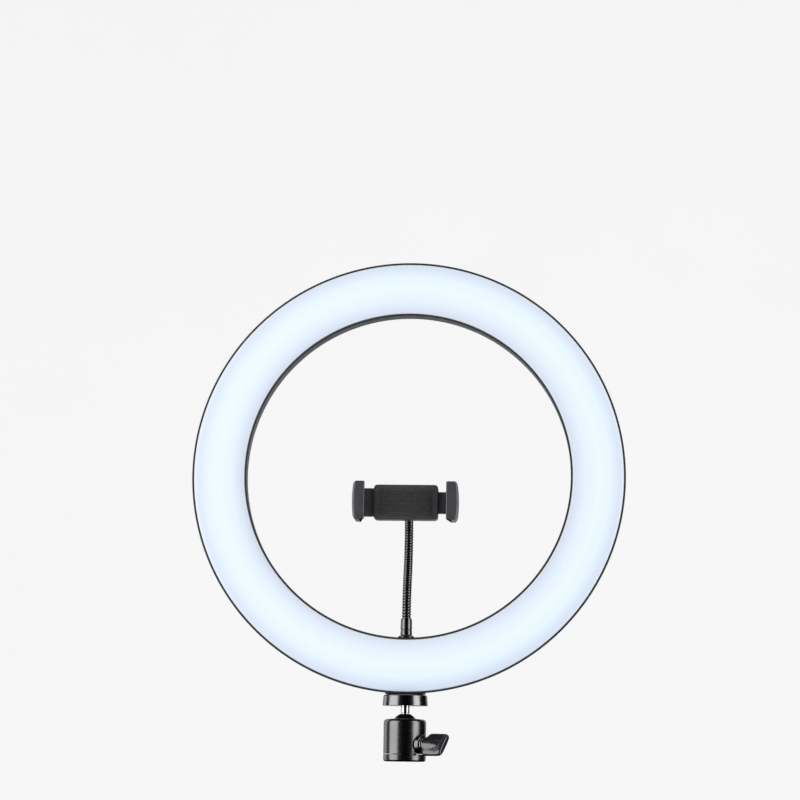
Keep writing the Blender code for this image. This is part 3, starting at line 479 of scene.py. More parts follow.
def ring_spots(node, count):
    """Places of a node's numbered copies on the ring, at depth 0."""
    spots = []
    for number in range(count):
        middle = box_middle(f"{node}_{number + 1}")
        spots.append(Matrix.Translation((middle.x, 0, middle.z)))
    return spots


def inlet_place():
    middle = box_middle("power_inlet")
    return Matrix.Translation((middle.x, 0, middle.z))


def make_ring_frame():
    """The moulded frame with softened rims, its web, and the flat foot."""
    outer, inner, front = RING_OUTER, RING_INNER, RING_FRONT
    back = RING_PARTING - 0.3 * MM
    wall, lean = RING_WALL, RING_LEAN
    web_front, web_back = 1.8 * MM, 3.4 * MM
    profile = soften([
        (outer, front, 0.55 * MM), (outer - lean, back, 0.15 * MM),
        (outer - lean - wall, back, 0.1 * MM), (outer - wall - lean, web_back, 0),
        (inner + wall + lean, web_back, 0), (inner + lean + wall, back, 0.1 * MM),
        (inner + lean, back, 0.15 * MM), (inner, front, 0.55 * MM),
        (inner + wall, front, 0.2 * MM), (inner + wall + lean * 0.8, web_front, 0),
        (outer - wall - lean * 0.8, web_front, 0), (outer - wall, front, 0.2 * MM),
    ])
    ring = lathe(profile, RING_SIDES, "Y")
    bmesh.ops.transform(ring, matrix=ring_place(), verts=ring.verts)
    outline = rectangle(15 * MM, 5.6 * MM, 2.5 * MM)
    foot = slab(outline, FOOT_Z, FOOT_Z + 1.8 * MM, 0.35 * MM, "Z")
    add_piece("frame_shell", merged(ring, foot), SHELL, "ring", ["ring_frame"])


def make_rear_cover():
    """The dished back with rounded shoulders, screw wells and the inlet's hole."""
    outer, inner, wall = RING_OUTER - RING_LEAN, RING_INNER + RING_LEAN, RING_WALL
    across, deep, steps = 10.5 * MM, RING_BACK - RING_PARTING, 14
    right, left = outer - across, inner + across

    def shoulder(middle, reach, height, start, end, count):
        turns = [start + (end - start) * k / count for k in range(count + 1)]
        return [(middle + reach * cos(a), RING_PARTING + height * sin(a)) for a in turns]

    profile = (
        shoulder(right, across, deep, 0, pi / 2, steps)
        + shoulder(left, across, deep, pi / 2, pi, steps)
        + shoulder(left, across - wall, deep - wall, pi, pi / 2, 6)
        + shoulder(right, across - wall, deep - wall, pi / 2, 0, 6)
    )
    cover = lathe(profile, RING_SIDES, "Y")
    bmesh.ops.transform(cover, matrix=ring_place(), verts=cover.verts)
    outside = RING_BACK + 1 * MM
    well = lathe(soften([
        (0, 9 * MM, 0), (1.7 * MM, 9 * MM, 0), (1.7 * MM, 11.3 * MM, 0), (3.2 * MM, 11.3 * MM, 0),
        (3.2 * MM, RING_BACK - 0.5 * MM, 0), (3.7 * MM, RING_BACK, 0), (3.7 * MM, outside, 0),
        (0, outside, 0),
    ]), SMALL_SIDES, "Y")
    hole = lathe(
        [(0, 9 * MM), (5.1 * MM, 9 * MM), (5.1 * MM, outside), (0, outside)], SMALL_SIDES, "Y")
    screws = ring_spots("cover_screw", COVER_SCREWS)
    holes = merged((well, screws), (hole, [inlet_place()]))
    cups = lathe(in_mm([(2.0, 9.6), (4.4, 9.6), (4.4, 12.2), (2.0, 11.3)]), SMALL_SIDES, "Y")
    shells = merged(carve(cover, holes), (cups, screws))
    add_piece("cover_shell", shells, SHELL, "ring", ["rear_cover"])


def screw_mesh(head, shank, seat, crown, end):
    """A pan-head screw along Y with a cross recess in its head."""
    solid = lathe(soften([
        (0, end, 0), (shank, end, shank * 0.5), (shank, seat, 0), (head, seat, head * 0.05),
        (head, seat + (crown - seat) * 0.45, head * 0.12), (head * 0.62, crown, head * 0.3),
        (0, crown, 0),
    ], 3), SMALL_SIDES, "Y")
    slot = []
    for turn in (0, pi / 2):
        outline = rectangle(head * 0.52, head * 0.11, head * 0.05, 2)
        inner = [point * 0.55 for point in outline]
        bar = loft([[axis_point(p.x, p.y, crown + 0.2 * MM, "Y") for p in outline],
                    [axis_point(p.x, p.y, crown - head * 0.42, "Y") for p in inner]])
        slot.append((bar, [Matrix.Rotation(turn + 0.4, 4, "Y")]))
    first = carve(solid, merged(slot[0]))
    return carve(first, merged(slot[1]))


def make_cover_screws():
    screw = screw_mesh(2.8 * MM, 1.25 * MM, 11.4 * MM, 12.8 * MM, 4.6 * MM)
    for number, place in enumerate(ring_spots("cover_screw", COVER_SCREWS)):
        turned = place @ Matrix.Rotation(1.1 * number, 4, "Y")
        add_piece(f"cover_screw_head_{number + 1}", screw.copy(), SCREW_STEEL, "ring",
                  [f"cover_screw_{number + 1}"], turned)
    screw.free()


def make_diffuser():
    """The milky front: a shallow crown with round shoulders."""
    thick, crown, skirt = 1.6 * MM, 1.6 * MM, -6.2 * MM
    inner, outer = RING_INNER + RING_WALL + 0.25 * MM, RING_OUTER - RING_WALL - 0.25 * MM
    half = (outer - inner) / 2
    steps = 40

    def face(reach, count, offset):
        points = []
        for k in range(count + 1):
            radius = RING_MIDDLE - reach * cos(pi * k / count)
            share = (radius - RING_MIDDLE) / half
            points.append((radius, RING_FRONT - crown * sqrt(max(0.0, 1 - share**4)) + offset))
        return points

    profile = face(half, steps, 0.0) + [(outer, skirt), (outer - thick, skirt)]
    profile += list(reversed(face(half - thick, 12, thick))) + [(inner + thick, skirt), (inner, skirt)]
    add_piece("diffuser_lens", lathe(profile, RING_SIDES, "Y"), DIFFUSER, "ring",
              ["diffuser"], ring_place())


def make_inlet():
    """The round power socket: a flanged barrel with a pin in its bore."""
    back = RING_BACK
    profile = soften([
        (0, 6.6 * MM, 0), (4.8 * MM, 6.6 * MM, 0.3 * MM), (4.8 * MM, back + 0.2 * MM, 0),
        (6.2 * MM, back + 0.2 * MM, 0.1 * MM), (6.2 * MM, back + 1.4 * MM, 0.5 * MM),
        (3.3 * MM, back + 1.4 * MM, 0.1 * MM), (2.9 * MM, back + 0.9 * MM, 0.1 * MM),
        (2.9 * MM, 8 * MM, 0),
        (0.9 * MM, 8 * MM, 0), (0.9 * MM, back + 0.3 * MM, 0.3 * MM), (0, back + 0.6 * MM, 0),
    ], 4)
    add_piece("inlet_socket", lathe(profile, SMALL_SIDES, "Y"), GLOSS, "ring",
              ["power_inlet"], inlet_place())


# ---------------------------------------------------------------- ball head

def make_base():
    """The base cap with its groove, and the threaded insert with real thread ridges."""
    radius = box_radius("base_cap")
    cap = soften(in_mm([
        (5.3, 0, 0.15), (radius / MM, 0, 2.0), (radius / MM, 5.4, 0.3),
        (9.0, 5.4, 0), (9.0, 7.6, 0), (0, 7.6, 0), (0, 6.7, 0), (5.3, 6.7, 0),
    ]))
    add_piece("base_ring", lathe(cap), HEAD_METAL, "head", ["base_cap"])

    pitch, bottom, top = 1.27 * MM, 0.15 * MM, 6.4 * MM
    rows = 60
    inside = [(3.2 * MM, top - (top - bottom) * k / rows) for k in range(rows + 1)]
    profile = inside + soften(in_mm([(5.0, 0.15, 0.2), (5.0, 6.4, 0.2)]), 2)

    def thread(angle, radius, height):
        if radius > 4 * MM:
            return 0.0
        phase = (height / pitch + angle / (2 * pi)) % 1.0
        entry = min(1.0, (height - bottom) / (0.8 * MM))
        return 0.5 * MM * (1 - entry) + 0.62 * MM * entry * abs(2 * phase - 1)

    add_piece("stand_thread", lathe(profile, SIDES, "Z", thread), STEEL, "head",
              ["stand_thread_insert"])


def make_housing():
    """The housing and its screw boss. The boss grows out of the housing through a fillet."""
    radius, top = HEAD_RADIUS, 31.2 * MM
    profile = soften([
        (9.3 * MM, 5.7 * MM, 0), (radius, 5.7 * MM, 0.3 * MM), (radius, top, 3.2 * MM),
        (11.3 * MM, top, 0.25 * MM), (11.3 * MM, 27 * MM, 0), (10.9 * MM, 27 * MM, 0),
        (10.9 * MM, 8 * MM, 0), (9.3 * MM, 8 * MM, 0),
    ], 10)
    shell = lathe(profile, 128)
    sections = []
    boss, end, bore, sides = 6.6 * MM, 18.2 * MM, 2.4 * MM, 64
    angles = [2 * pi * k / sides for k in range(sides)]
    # How much wider than the boss the fillet is, and how far it stands out from the housing there.
    for grow, out in ((1.5, -0.35), (0.9, -0.05), (0.45, 0.2), (0.15, 0.55), (0.0, 1.0)):
        section = []
        for angle in angles:
            reach = boss + grow * MM
            across, up = reach * cos(angle), reach * sin(angle)
            root = sqrt(radius**2 - across**2)
            along = min(root + out * MM, end - 0.7 * MM)
            section.append(Vector((along, across, max(up, -boss))))
        sections.append(section)
    face = (
        (boss, 17.6), (boss - 0.1 * MM, 17.95), (boss - 0.5 * MM, 18.2), (4.0 * MM, 18.2),
        (bore + 0.3 * MM, 18.2), (bore, 17.9), (bore, 12.0),
    )
    for reach, along in face:
        sections.append([Vector((along * MM, reach * cos(a), reach * sin(a))) for a in angles])
    root = loft(sections, capped=False)
    bmesh.ops.recalc_face_normals(root, faces=root.faces)
    bmesh.ops.transform(root, matrix=KNOB_AXIS, verts=root.verts)
    add_piece("housing_shell", merged(shell, root), HEAD_METAL, "head",
              ["head_housing"])


def sphere_points(radius, low, high, steps):
    """Points (radius, height) on the ball's sphere from a low height to a high one, about BALL_Z."""
    start = atan2(sqrt(max(0.0, radius**2 - low**2)), low)
    end = atan2(sqrt(max(0.0, radius**2 - high**2)), high)
    turns = [start + (end - start) * k / steps for k in range(steps + 1)]
    return [(radius * sin(a), BALL_Z + radius * cos(a)) for a in turns]


def make_collar_ring():
    """The ring in the housing's mouth, bored to the ball's sphere."""
    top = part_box("ball_collar")[1].z
    outer = box_radius("ball_collar")
    bore = sphere_points(BALL_RADIUS + 0.3 * MM, 1.8 * MM, 5.0 * MM, 10)
    rim = soften([(9.8 * MM, top, 0.15 * MM), (outer, top, 0.5 * MM), (outer, 27.2 * MM, 0)], 4)
    add_piece("collar_ring", lathe(bore + [tuple(p) for p in rim]), NYLON, "head",
              ["ball_collar"])


def make_ball_and_stem():
    """The ball with its top cut flat, and the stem that stands in its bore."""
    dome = sphere_points(BALL_RADIUS, -BALL_RADIUS, BALL_RADIUS * 0.93, 40)
    dome[0] = (0, BALL_Z - BALL_RADIUS)
    dome += [(3.4 * MM, BALL_Z + BALL_RADIUS * 0.95), (2.9 * MM, BALL_Z + BALL_RADIUS * 0.94),
             (2.9 * MM, BALL_Z), (0, BALL_Z)]
    add_piece("ball_dome", lathe(dome), HEAD_METAL, "tilter", ["ball"])

    shoulder = BALL_Z + BALL_RADIUS + 0.1 * MM
    disc_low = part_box("top_disc")[0].z
    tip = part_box("stem")[1].z
    stem = soften([
        (0, BALL_Z + 0.3 * MM, 0), (2.6 * MM, BALL_Z + 0.3 * MM, 0), (2.6 * MM, shoulder, 0),
        (3.5 * MM, shoulder, 0.1 * MM), (3.3 * MM, shoulder + 0.6 * MM, 0.1 * MM),
        (3.3 * MM, disc_low - 0.3 * MM, 0.1 * MM), (3.1 * MM, disc_low - 0.3 * MM, 0),
        (3.1 * MM, tip - 0.6 * MM, 0.1 * MM), (2.5 * MM, tip, 0.1 * MM), (0, tip, 0),
    ], 4)
    add_piece("stem_turned", lathe(stem), STEEL, "tilter", ["stem"])


def make_disc():
    """The platform disc, with its rubber pad in a recess."""
    disc_low, disc_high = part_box("top_disc")[0].z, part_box("top_disc")[1].z
    wide = box_radius("top_disc")
    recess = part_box("disc_pad")[0].z - 0.2 * MM
    disc = soften([
        (3.35 * MM, disc_low, 0), (wide, disc_low, 0.4 * MM), (wide - 0.7 * MM, disc_high, 1.3 * MM),
        (14.3 * MM, disc_high, 0.2 * MM), (14.3 * MM, recess, 0), (3.35 * MM, recess, 0),
    ], 8)
    add_piece("disc_plate", lathe(disc, 128), DISC_METAL, "tilter", ["top_disc"])
    pad_low, pad_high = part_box("disc_pad")[0].z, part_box("disc_pad")[1].z
    pad_radius = box_radius("disc_pad")
    pad = soften([
        (3.4 * MM, pad_low, 0), (pad_radius, pad_low, 0.1 * MM),
        (pad_radius, pad_high, 0.3 * MM), (3.4 * MM, pad_high, 0),
    ], 4)
    add_piece("disc_rubber", lathe(pad), RUBBER, "tilter", ["disc_pad"])


def make_knob():
    """The wing knob, a round hub that flattens into two wings, and its washer."""
    # Distance from the head's axis, the wings' half width and half thickness, and the hub's radius.
    stations = (
        (19.1, 3.4, 2.3, 3.9), (19.15, 3.8, 2.4, 4.5), (19.7, 4.2, 2.4, 4.8), (20.2, 4.8, 2.4, 4.8),
        (20.7, 6.2, 2.5, 4.8), (21.3, 8.0, 2.6, 4.7), (22.1, 9.0, 2.65, 4.65), (23.2, 9.35, 2.7, 4.6),
        (26.0, 9.4, 2.6, 4.4), (30.0, 9.4, 2.4, 3.9), (33.0, 9.4, 2.4, 2.9), (35.0, 9.35, 2.5, 1.8),
        (37.0, 9.1, 2.5, 1.0), (38.2, 8.5, 2.3, 1.0), (38.7, 7.8, 1.8, 1.0), (38.8, 6.8, 1.2, 0.8),
    )
    points, square = 72, 3.2
    sections = []
    for along, width, thick, hub in stations:
        section = []
        for k in range(points):
            angle = 2 * pi * (k + 0.5) / points
            c, s = cos(angle), sin(angle)
            across = width * abs(c) ** (2 / square) * (1 if c > 0 else -1)
            up = thick * abs(s) ** (2 / square) * (1 if s > 0 else -1)
            reach = hypot(across, up)
            grown = (reach**6 + hub**6) ** (1 / 6) / reach
            section.append(Vector((along, across * grown, up * grown)) * MM)
        sections.append(section)
    add_piece("knob_wings", loft(sections), KNOB_PLASTIC, "knob", ["lock_knob"],
              WINGS, subdivisions=1)
    washer = soften(in_mm([
        (2.3, 18.35, 0.05), (5.2, 18.35, 0.15), (5.2, 18.95, 0.15), (2.3, 18.95, 0.05),
    ]), 3)
    add_piece("knob_washer", lathe(washer, SIDES, "X"), STEEL, "knob", ["lock_washer"],
              KNOB_AXIS)


# ---------------------------------------------------------------- gooseneck

NECK_RADIUS = 3.4 * MM
NECK_RIB = 2.2 * MM
NECK_GROOVE = 0.75 * MM
NECK_CURL = 18 * MM
NECK_BODIES = ("ring", *(f"neck_link_{number}" for number in range(2, 8)), "neck_tip")
SOCKET = 4.5 * MM


def neck_line():
    """The neck's line in the YZ plane as (turn, length) pieces, between the two ferrules' sockets."""
    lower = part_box("lower_ferrule")[1].z
    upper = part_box("upper_ferrule")[1].y
    rise = CLAMP.translation.z - NECK_CURL - lower
    back = upper + NECK_CURL
    lean = 2 * atan2(back, rise)
    bend = rise / (2 * sin(lean))
    start = Vector((0, 0, lower - SOCKET))
    return start, [
        (0.0, SOCKET), (lean, bend * lean), (-lean, bend * lean),
        (-pi / 2, NECK_CURL * pi / 2), (0.0, SOCKET),
    ]


def neck_at(travel):
    """(point, tangent) of the neck's line at a distance from its start."""
    point, route = neck_line()
    heading = 0.0
    for turn, length in route:
        step = min(travel, length)
        if abs(turn) < 1e-9:
            point = point + Vector((0, sin(heading), cos(heading))) * step
        else:
            radius = length / turn
            after = heading + step / radius
            moved = Vector((0, cos(heading) - cos(after), sin(after) - sin(heading)))
            point = point + moved * radius
            heading = after
        travel -= step
        if travel <= 1e-12:
            break
    return point, Vector((0, sin(heading), cos(heading)))


def neck_skin(start, end):
    """A stretch of the wound neck: a round wire's ribs climb round it as a screw does."""
    sides, rows = 40, max(4, round((end - start) / NECK_RIB * 10))
    across = Vector((1, 0, 0))
    sections = []
    for k in range(rows + 1):
        travel = start + (end - start) * k / rows
        point, tangent = neck_at(travel)
        up = across.cross(tangent)
        section = []
        for side in range(sides):
            angle = 2 * pi * side / sides
            phase = (travel / NECK_RIB + angle / (2 * pi)) % 1.0
            rib = sqrt(max(0.0, 1 - (2 * phase - 1) ** 2))
            reach = NECK_RADIUS - NECK_GROOVE * (1 - rib)
            section.append(point + (across * cos(angle) + up * sin(angle)) * reach)
        sections.append(section)
    return loft(sections)


def make_neck():
    """Seven stretches that reach across the joints, held by no body, and the two ends in their ferrules.
    """
    length = sum(piece for _, piece in neck_line()[1])
    count = len(NECK_BODIES)
    free = length - 2 * SOCKET
    middles = [SOCKET + free * (k + 0.5) / count for k in range(count)]
    inside = 0.8 * MM
    add_piece("neck_foot_end", neck_skin(0.0, middles[0]), NECK_METAL, "ring",
              ["neck_segment_1"])
    for k in range(count - 1):
        skin = neck_skin(middles[k], middles[k + 1])
        replaced = [f"neck_segment_{k + 2}"] if k < count - 2 else []
        piece = add_piece(f"neck_wound_{k + 1}", skin, NECK_METAL, None, replaced)
        start, _ = neck_at(middles[k] + inside)
        end, _ = neck_at(middles[k + 1] - inside)
        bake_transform(piece)
    add_piece("neck_head_end", neck_skin(middles[-1], length), NECK_METAL, "neck_tip",
              ["neck_segment_8"])


def make_neck_fittings():
    """The flange on the ring, and the two ferrules with a crimped waist."""
    foot = 91.6 * MM
    low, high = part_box("neck_flange")[0].z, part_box("neck_flange")[1].z
    flange = soften([
        (0, low, 0), (2.35 * MM, low, 0), (2.35 * MM, foot, 0), (6.2 * MM, foot, 0.1 * MM),
        (6.2 * MM, foot + 0.7 * MM, 0.25 * MM), (5.1 * MM, high, 0.25 * MM), (0, high, 0),
    ], 4)
    add_piece("flange_turned", lathe(flange), NECK_METAL, "ring", ["neck_flange"])
    low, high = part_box("lower_ferrule")[0].z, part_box("lower_ferrule")[1].z
    ferrule = soften([
        (0, low, 0), (4.4 * MM, low, 0.3 * MM), (4.4 * MM, low + 3.0 * MM, 0.2 * MM),
        (4.15 * MM, low + 3.4 * MM, 0.2 * MM), (4.15 * MM, low + 4.2 * MM, 0.2 * MM),
        (4.35 * MM, low + 4.6 * MM, 0.2 * MM), (4.2 * MM, high, 0.5 * MM), (3.7 * MM, high, 0.1 * MM),
        (3.7 * MM, high - 4.8 * MM, 0), (0, high - 4.8 * MM, 0),
    ], 4)
    add_piece("ferrule_lower", lathe(ferrule), HEAD_METAL, "ring", ["lower_ferrule"])
    low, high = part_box("upper_ferrule")[0].y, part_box("upper_ferrule")[1].y
    ferrule = soften([
        (2.8 * MM, low, 0), (3.9 * MM, low, 0.2 * MM), (4.4 * MM, low + 1.0 * MM, 0.3 * MM),
        (4.4 * MM, high, 0.5 * MM), (3.7 * MM, high, 0.1 * MM), (3.7 * MM, high - 4.8 * MM, 0),
        (2.8 * MM, high - 4.8 * MM, 0),
    ], 4)
    add_piece("ferrule_upper", lathe(ferrule, SIDES, "Y"), HEAD_METAL, "neck_tip",
              ["upper_ferrule"], CLAMP)


# ---------------------------------------------------------------- phone clamp

JAW_IN, JAW_OUT = 33.5 * MM, 39.5 * MM
HALF_HEIGHT = 14.2 * MM
CLAMP_SCREWS = 4


def clamp_outline():
    return rectangle(24 * MM, 13 * MM, 3 * MM)


def ball_profile(radius, last, steps):
    """A sphere's (radius, depth) points about the clamp's ball, from its front pole to a last turn."""
    points = []
    for k in range(steps + 1):
        turn = pi - (pi - last) * k / steps
        points.append((radius * sin(turn), CLAMP_BALL_Y + radius * cos(turn)))
    points[0] = (0, CLAMP_BALL_Y - radius)
    return points


def make_collar_nut():
    """The nut with grip flutes round its rim, and the ball stud in it."""
    front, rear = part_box("collar_nut")[0].y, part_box("collar_nut")[1].y
    outer = box_radius("collar_nut")
    flutes = 20

    def flute(angle, radius, height):
        if radius < outer - 0.7 * MM:
            return 0.0
        hollow = max(0.0, cos(flutes * angle)) ** 2
        return -0.55 * MM * hollow

    profile = soften([
        (8.9 * MM, front, 0), (outer - 0.5 * MM, front, 0.1 * MM),
        (outer, front + 0.6 * MM, 0.2 * MM),
        (outer, rear - 1.2 * MM, 0.3 * MM), (9.8 * MM, rear, 0.4 * MM), (6.7 * MM, rear, 0.3 * MM),
        (6.7 * MM, rear - 1.2 * MM, 0), (8.9 * MM, rear - 1.2 * MM, 0),
    ], 4)
    nut = lathe(profile, 240, "Y", flute)
    add_piece("collar_fluted", nut, CLAMP_PLASTIC, "collar", ["collar_nut"], CLAMP)
    shank, end = 2.5 * MM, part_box("clamp_ball")[1].y
    profile = ball_profile(6.5 * MM, 0.3946, 30) + [(shank, end), (0, end)]
    add_piece("ball_stud", lathe(profile, SIDES, "Y"), STEEL, "neck_tip", ["clamp_ball"],
              CLAMP)


def clamp_spots():
    spots = []
    for number in range(CLAMP_SCREWS):
        middle = box_middle(f"clamp_screw_{number + 1}")
        spots.append(Matrix.Translation((middle.x, 0, middle.z - CLAMP.translation.z)))
    return spots


def make_clamp_cover():
    """The rear shell: a rounded plate with screw wells and the socket's cup."""
    join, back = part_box("clamp_cover")[0].y, -23.0 * MM
    plate = slab(clamp_outline(), join, back, 0.5 * MM)
    well = lathe(in_mm([
        (0, -27), (1.1, -27), (1.1, -24.3), (2.2, -24.3), (2.2, -22), (0, -22),
    ]), SMALL_SIDES, "Y")
    plate = carve(plate, merged((well, clamp_spots())))
    end, root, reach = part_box("clamp_cover")[1].y, -23.4 * MM, 8.6 * MM
    outside = soften([(reach, end, 0.4 * MM), (reach, root, 0)], 3)
    cup = ball_profile(6.8 * MM, 1.115, 16) + [tuple(point) for point in outside] + [(0, root)]
    add_piece("clamp_back", merged(plate, lathe(cup, SIDES, "Y")), CLAMP_PLASTIC,
              "clamp", ["clamp_cover"], CLAMP)


def hook(side):
    """A jaw's bulged wall and the lip in front of the phone. side is 1 at +X and -1 at -X."""
    plan = soften([
        (JAW_IN, -24.5 * MM, 0.4 * MM), (JAW_IN, -43.9 * MM, 0.9 * MM),
        (30.2 * MM, -43.9 * MM, 0.5 * MM), (30.2 * MM, -46.4 * MM, 0.9 * MM),
        (JAW_OUT, -46.4 * MM, 2.4 * MM), (JAW_OUT, -24.5 * MM, 2.2 * MM),
    ], 6)
    edge, rounds, levels = 1.0 * MM, 5, 12
    flat = HALF_HEIGHT - edge
    rounded = []
    for k in range(1, rounds + 1):
        turn = pi / 2 * k / rounds
        rounded.append((flat + edge * sin(turn), edge * (1 - cos(turn))))
    heights = [(-height, pulled) for height, pulled in reversed(rounded)]
    heights += [(flat * (k / levels), 0.0) for k in range(-levels, levels + 1)]
    heights += rounded
    sections = []
    for height, pulled in heights:
        share = abs(height) / HALF_HEIGHT
        draw = 1.1 * MM * share**2 + 0.9 * MM * max(0.0, share - 0.85) / 0.15
        section = []
        for point in inset(plan, pulled):
            give = min(1.0, max(0.0, (point.x - JAW_IN) / (JAW_OUT - JAW_IN)))
            section.append(Vector((side * (point.x - draw * give), point.y, height)))
        sections.append(section)
    return loft(sections)


def make_clamp_frame():
    """The front shell with the fixed jaw, open at +X for the sliding jaw's tongue."""
    front, join = -34.0 * MM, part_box("clamp_cover")[0].y - 0.2 * MM
    shell = slab(clamp_outline(), front, join, 0.9 * MM)
    cavity = block((-21.5 * MM, -31.3 * MM, -8.4 * MM), (30 * MM, -20 * MM, 8.4 * MM))
    shell = carve(shell, cavity)
    low, high = (-36 * MM, -31.6 * MM, -10.5 * MM), (-20 * MM, join - 0.1 * MM, 10.5 * MM)
    arm = block(low, high, 0.8 * MM)
    add_piece("clamp_body", merged(shell, arm, hook(-1)), CLAMP_PLASTIC, "clamp",
              ["clamp_frame"], CLAMP)


def make_sliding_jaw():
    """The sliding jaw with its slotted tongue."""
    tongue = block((-9 * MM, -30.9 * MM, -8 * MM), (36 * MM, -25.8 * MM, 8 * MM), 0.3 * MM)
    slot = block((-12 * MM, -40 * MM, -2.7 * MM), (16 * MM, -20 * MM, 2.7 * MM), 0.2 * MM)
    bore = lathe(in_mm([(0, -12), (1.5, -12), (1.5, 31), (0, 31)]), SMALL_SIDES, "X")
    rods = [Matrix.Translation((0, -28.4 * MM, z * MM)) for z in (5.2, -5.2)]
    tongue = carve(carve(tongue, slot), merged((bore, rods)))
    add_piece("jaw_slider", merged(tongue, hook(1)), CLAMP_PLASTIC, "jaw",
              ["sliding_jaw"], CLAMP)


def ribbed_pad(half_a, half_b, back, front, axis, centre):
    """A rubber pad with rounded ribs across it."""
    base = front + (back - front) * 0.5
    low, high = min(base, back), max(base, back)
    corner = 1.2 * MM
    outline = [point + Vector(centre) for point in rectangle(half_a, half_b, corner)]
    parts = [slab(outline, low, high, 0.1 * MM, axis)]
    pitch = 1.6 * MM
    count = floor((half_b - 0.8 * MM) / pitch)
    for k in range(-count, count + 1):
        middle = Vector((centre[0], centre[1] + k * pitch))
        rib = [point + middle for point in rectangle(half_a - 1.0 * MM, 0.5 * MM, 0.35 * MM, 3)]
        ends = sorted((front, base + (back - base) * 0.3))
        parts.append(slab(rib, ends[0], ends[1], 0.22 * MM, axis))
    return merged(*parts)


def make_pads():
    """Ribbed rubber on both jaws and on the clamp's front."""
    centre = (-38.95 * MM, 0.0)
    back, front = JAW_IN - 0.2 * MM, JAW_IN - 1.3 * MM
    fixed = ribbed_pad(4 * MM, 12.2 * MM, -back, -front, "X", centre)
    add_piece("fixed_jaw_rubber", fixed, RUBBER, "clamp", ["fixed_jaw_pad"], CLAMP)
    sliding = ribbed_pad(4 * MM, 12.2 * MM, back, front, "X", centre)
    add_piece("sliding_jaw_rubber", sliding, RUBBER, "jaw", ["sliding_jaw_pad"], CLAMP)
    rest = ribbed_pad(19 * MM, 10 * MM, -34.2 * MM, -35.1 * MM, "Y", (0.0, 0.0))
    add_piece("back_rubber", rest, RUBBER, "clamp", ["back_pad"], CLAMP)


def make_clamp_screws():
    screw = screw_mesh(1.9 * MM, 0.85 * MM, -24.1 * MM, -23.1 * MM, -28.7 * MM)
    for number, place in enumerate(clamp_spots()):
        turned = CLAMP @ place @ Matrix.Rotation(0.9 * number, 4, "Y")
        add_piece(f"clamp_screw_head_{number + 1}", screw.copy(), SCREW_STEEL, "clamp",
                  [f"clamp_screw_{number + 1}"], turned)
    screw.free()


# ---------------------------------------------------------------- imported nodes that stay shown

KEPT = (
    (STEEL, ("lock_screw", "lift_plug", "guide_rod_1", "guide_rod_2", "jaw_spring")),
    (NYLON, ("ball_seat",)),
    (BRASS, ("foot_nut", "neck_nut")),
    (BOARD, ("led_board_1", "led_board_2", "led_board_3", "led_board_4")),
    (WIRE_RED, ("lead_red",)),
    (WIRE_BLACK, ("lead_black",)),
)


def refinish_nodes():
    for finish, names in KEPT:
        for name in names:
            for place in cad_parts[name].material_slots:
                place.material = finish


# ---------------------------------------------------------------- studio

WORLD_GREY = (0.90, 0.90, 0.905, 1.0)
WORLD_STRENGTH = 0.98
# Each softbox's name, place, width and height in metres, and power in watts.
SOFTBOXES = (
    ("softbox_left", (-1.22, -0.66, 0.25), (1.3, 1.9), 25),
    ("softbox_right", (1.25, -0.58, 0.25), (0.85, 1.9), 18),
    ("softbox_rim", (-1.5, 1.0, 0.3), (0.8, 1.9), 7),
    ("softbox_rear", (0, 2.2, 0.6), (4.0, 2.6), 20),
)
LIT_POINT = Vector((0, 0, 0.15))
CAMERA_PLACE = (0.0733, -1.4841, 0.0091)
CAMERA_YAW, CAMERA_PITCH, CAMERA_ROLL = radians(-3.108), radians(10.077), radians(0.849)
CAMERA_LENS = 88.4


def make_backdrop():
    """A pale floor that sweeps up all round into a wall, and a flat ceiling. Only the camera sees it."""
    floor_z, floor_radius, bend, height, steps = -0.9, 3.0, 2.0, 6.0, 24
    line = [(0.0, floor_z), (floor_radius, floor_z)]
    for k in range(1, steps + 1):
        turn = pi / 2 * k / steps
        line.append((floor_radius + bend * sin(turn), floor_z + bend * (1 - cos(turn))))
    line.append((floor_radius + bend, height))
    line.append((0.0, height))
    mesh = bpy.data.meshes.new("backdrop")
    bm = lathe(line)
    bmesh.ops.recalc_face_normals(bm, faces=bm.faces)
    bmesh.ops.reverse_faces(bm, faces=bm.faces)
    bm.to_mesh(mesh)
    bm.free()
    mesh.shade_smooth()
    mesh.set_sharp_from_angle(angle=SMOOTH_ANGLE)
    paper = new_finish("backdrop_paper", PAPER, 0.9, 0.0, 0.0)
    mottle(paper, noise(paper, 3), PAPER, [value * 1.006 for value in PAPER])
    mesh.materials.append(paper)
    backdrop = bpy.data.objects.new("backdrop", mesh)
    bpy.context.scene.collection.objects.link(backdrop)
    backdrop.visible_diffuse = False
    backdrop.visible_glossy = False
    backdrop.visible_shadow = False


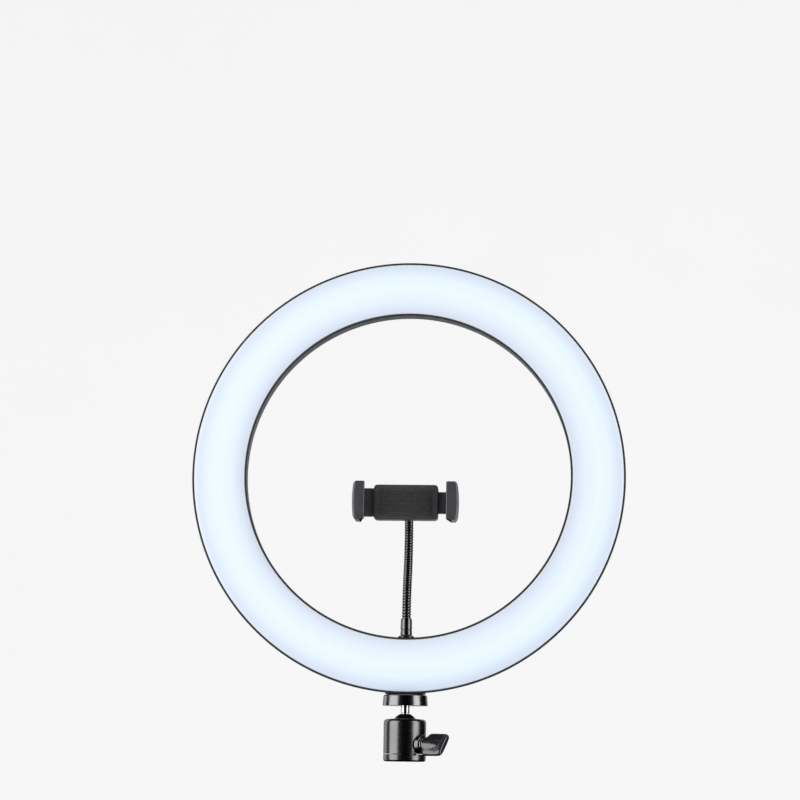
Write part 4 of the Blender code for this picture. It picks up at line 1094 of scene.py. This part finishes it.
def add_softbox(name, place, size, watts):
    light = bpy.data.lights.new(name, "AREA")
    light.shape = "RECTANGLE"
    light.size, light.size_y = size
    light.energy = watts
    lamp = bpy.data.objects.new(name, light)
    bpy.context.scene.collection.objects.link(lamp)
    lamp.location = place
    lamp.rotation_mode = "QUATERNION"
    lamp.rotation_quaternion = (LIT_POINT - Vector(place)).to_track_quat("-Z", "Y")
    lamp.visible_camera = False


def make_lights():
    """Pale surroundings, tall softboxes on both sides and at the rear left, and a wide one behind."""
    world = bpy.data.worlds.new("studio")
    world.use_nodes = True
    surroundings = world.node_tree.nodes["Background"]
    surroundings.inputs["Color"].default_value = WORLD_GREY
    surroundings.inputs["Strength"].default_value = WORLD_STRENGTH
    world.cycles_visibility.glossy = False
    bpy.context.scene.world = world
    for name, place, size, watts in SOFTBOXES:
        add_softbox(name, place, size, watts)


def make_camera():
    """The view from straight in front, a little below and to the right."""
    yaw, pitch, roll = CAMERA_YAW, CAMERA_PITCH, CAMERA_ROLL
    ahead = Vector((sin(yaw) * cos(pitch), cos(yaw) * cos(pitch), sin(pitch)))
    level = Vector((cos(yaw), -sin(yaw), 0))
    rise = level.cross(ahead)
    right = level * cos(roll) + rise * sin(roll)
    up = rise * cos(roll) - level * sin(roll)
    data = bpy.data.cameras.new("camera")
    data.lens = CAMERA_LENS
    data.sensor_width = 36.0
    data.clip_start = 0.05
    camera = bpy.data.objects.new("camera", data)
    bpy.context.scene.collection.objects.link(camera)
    turn = Matrix((right, up, -ahead)).transposed().to_4x4()
    camera.matrix_world = Matrix.Translation(CAMERA_PLACE) @ turn
    bpy.context.scene.camera = camera


# ---------------------------------------------------------------- assembly

make_camera()
make_ring_frame()
make_rear_cover()
make_cover_screws()
make_diffuser()
make_inlet()
make_base()
make_housing()
make_collar_ring()
make_ball_and_stem()
make_disc()
make_knob()
make_neck()
make_neck_fittings()
make_collar_nut()
make_clamp_cover()
make_clamp_frame()
make_sliding_jaw()
make_pads()
make_clamp_screws()
refinish_nodes()
make_backdrop()
make_lights()
bpy.context.scene.view_settings.view_transform = "Standard"
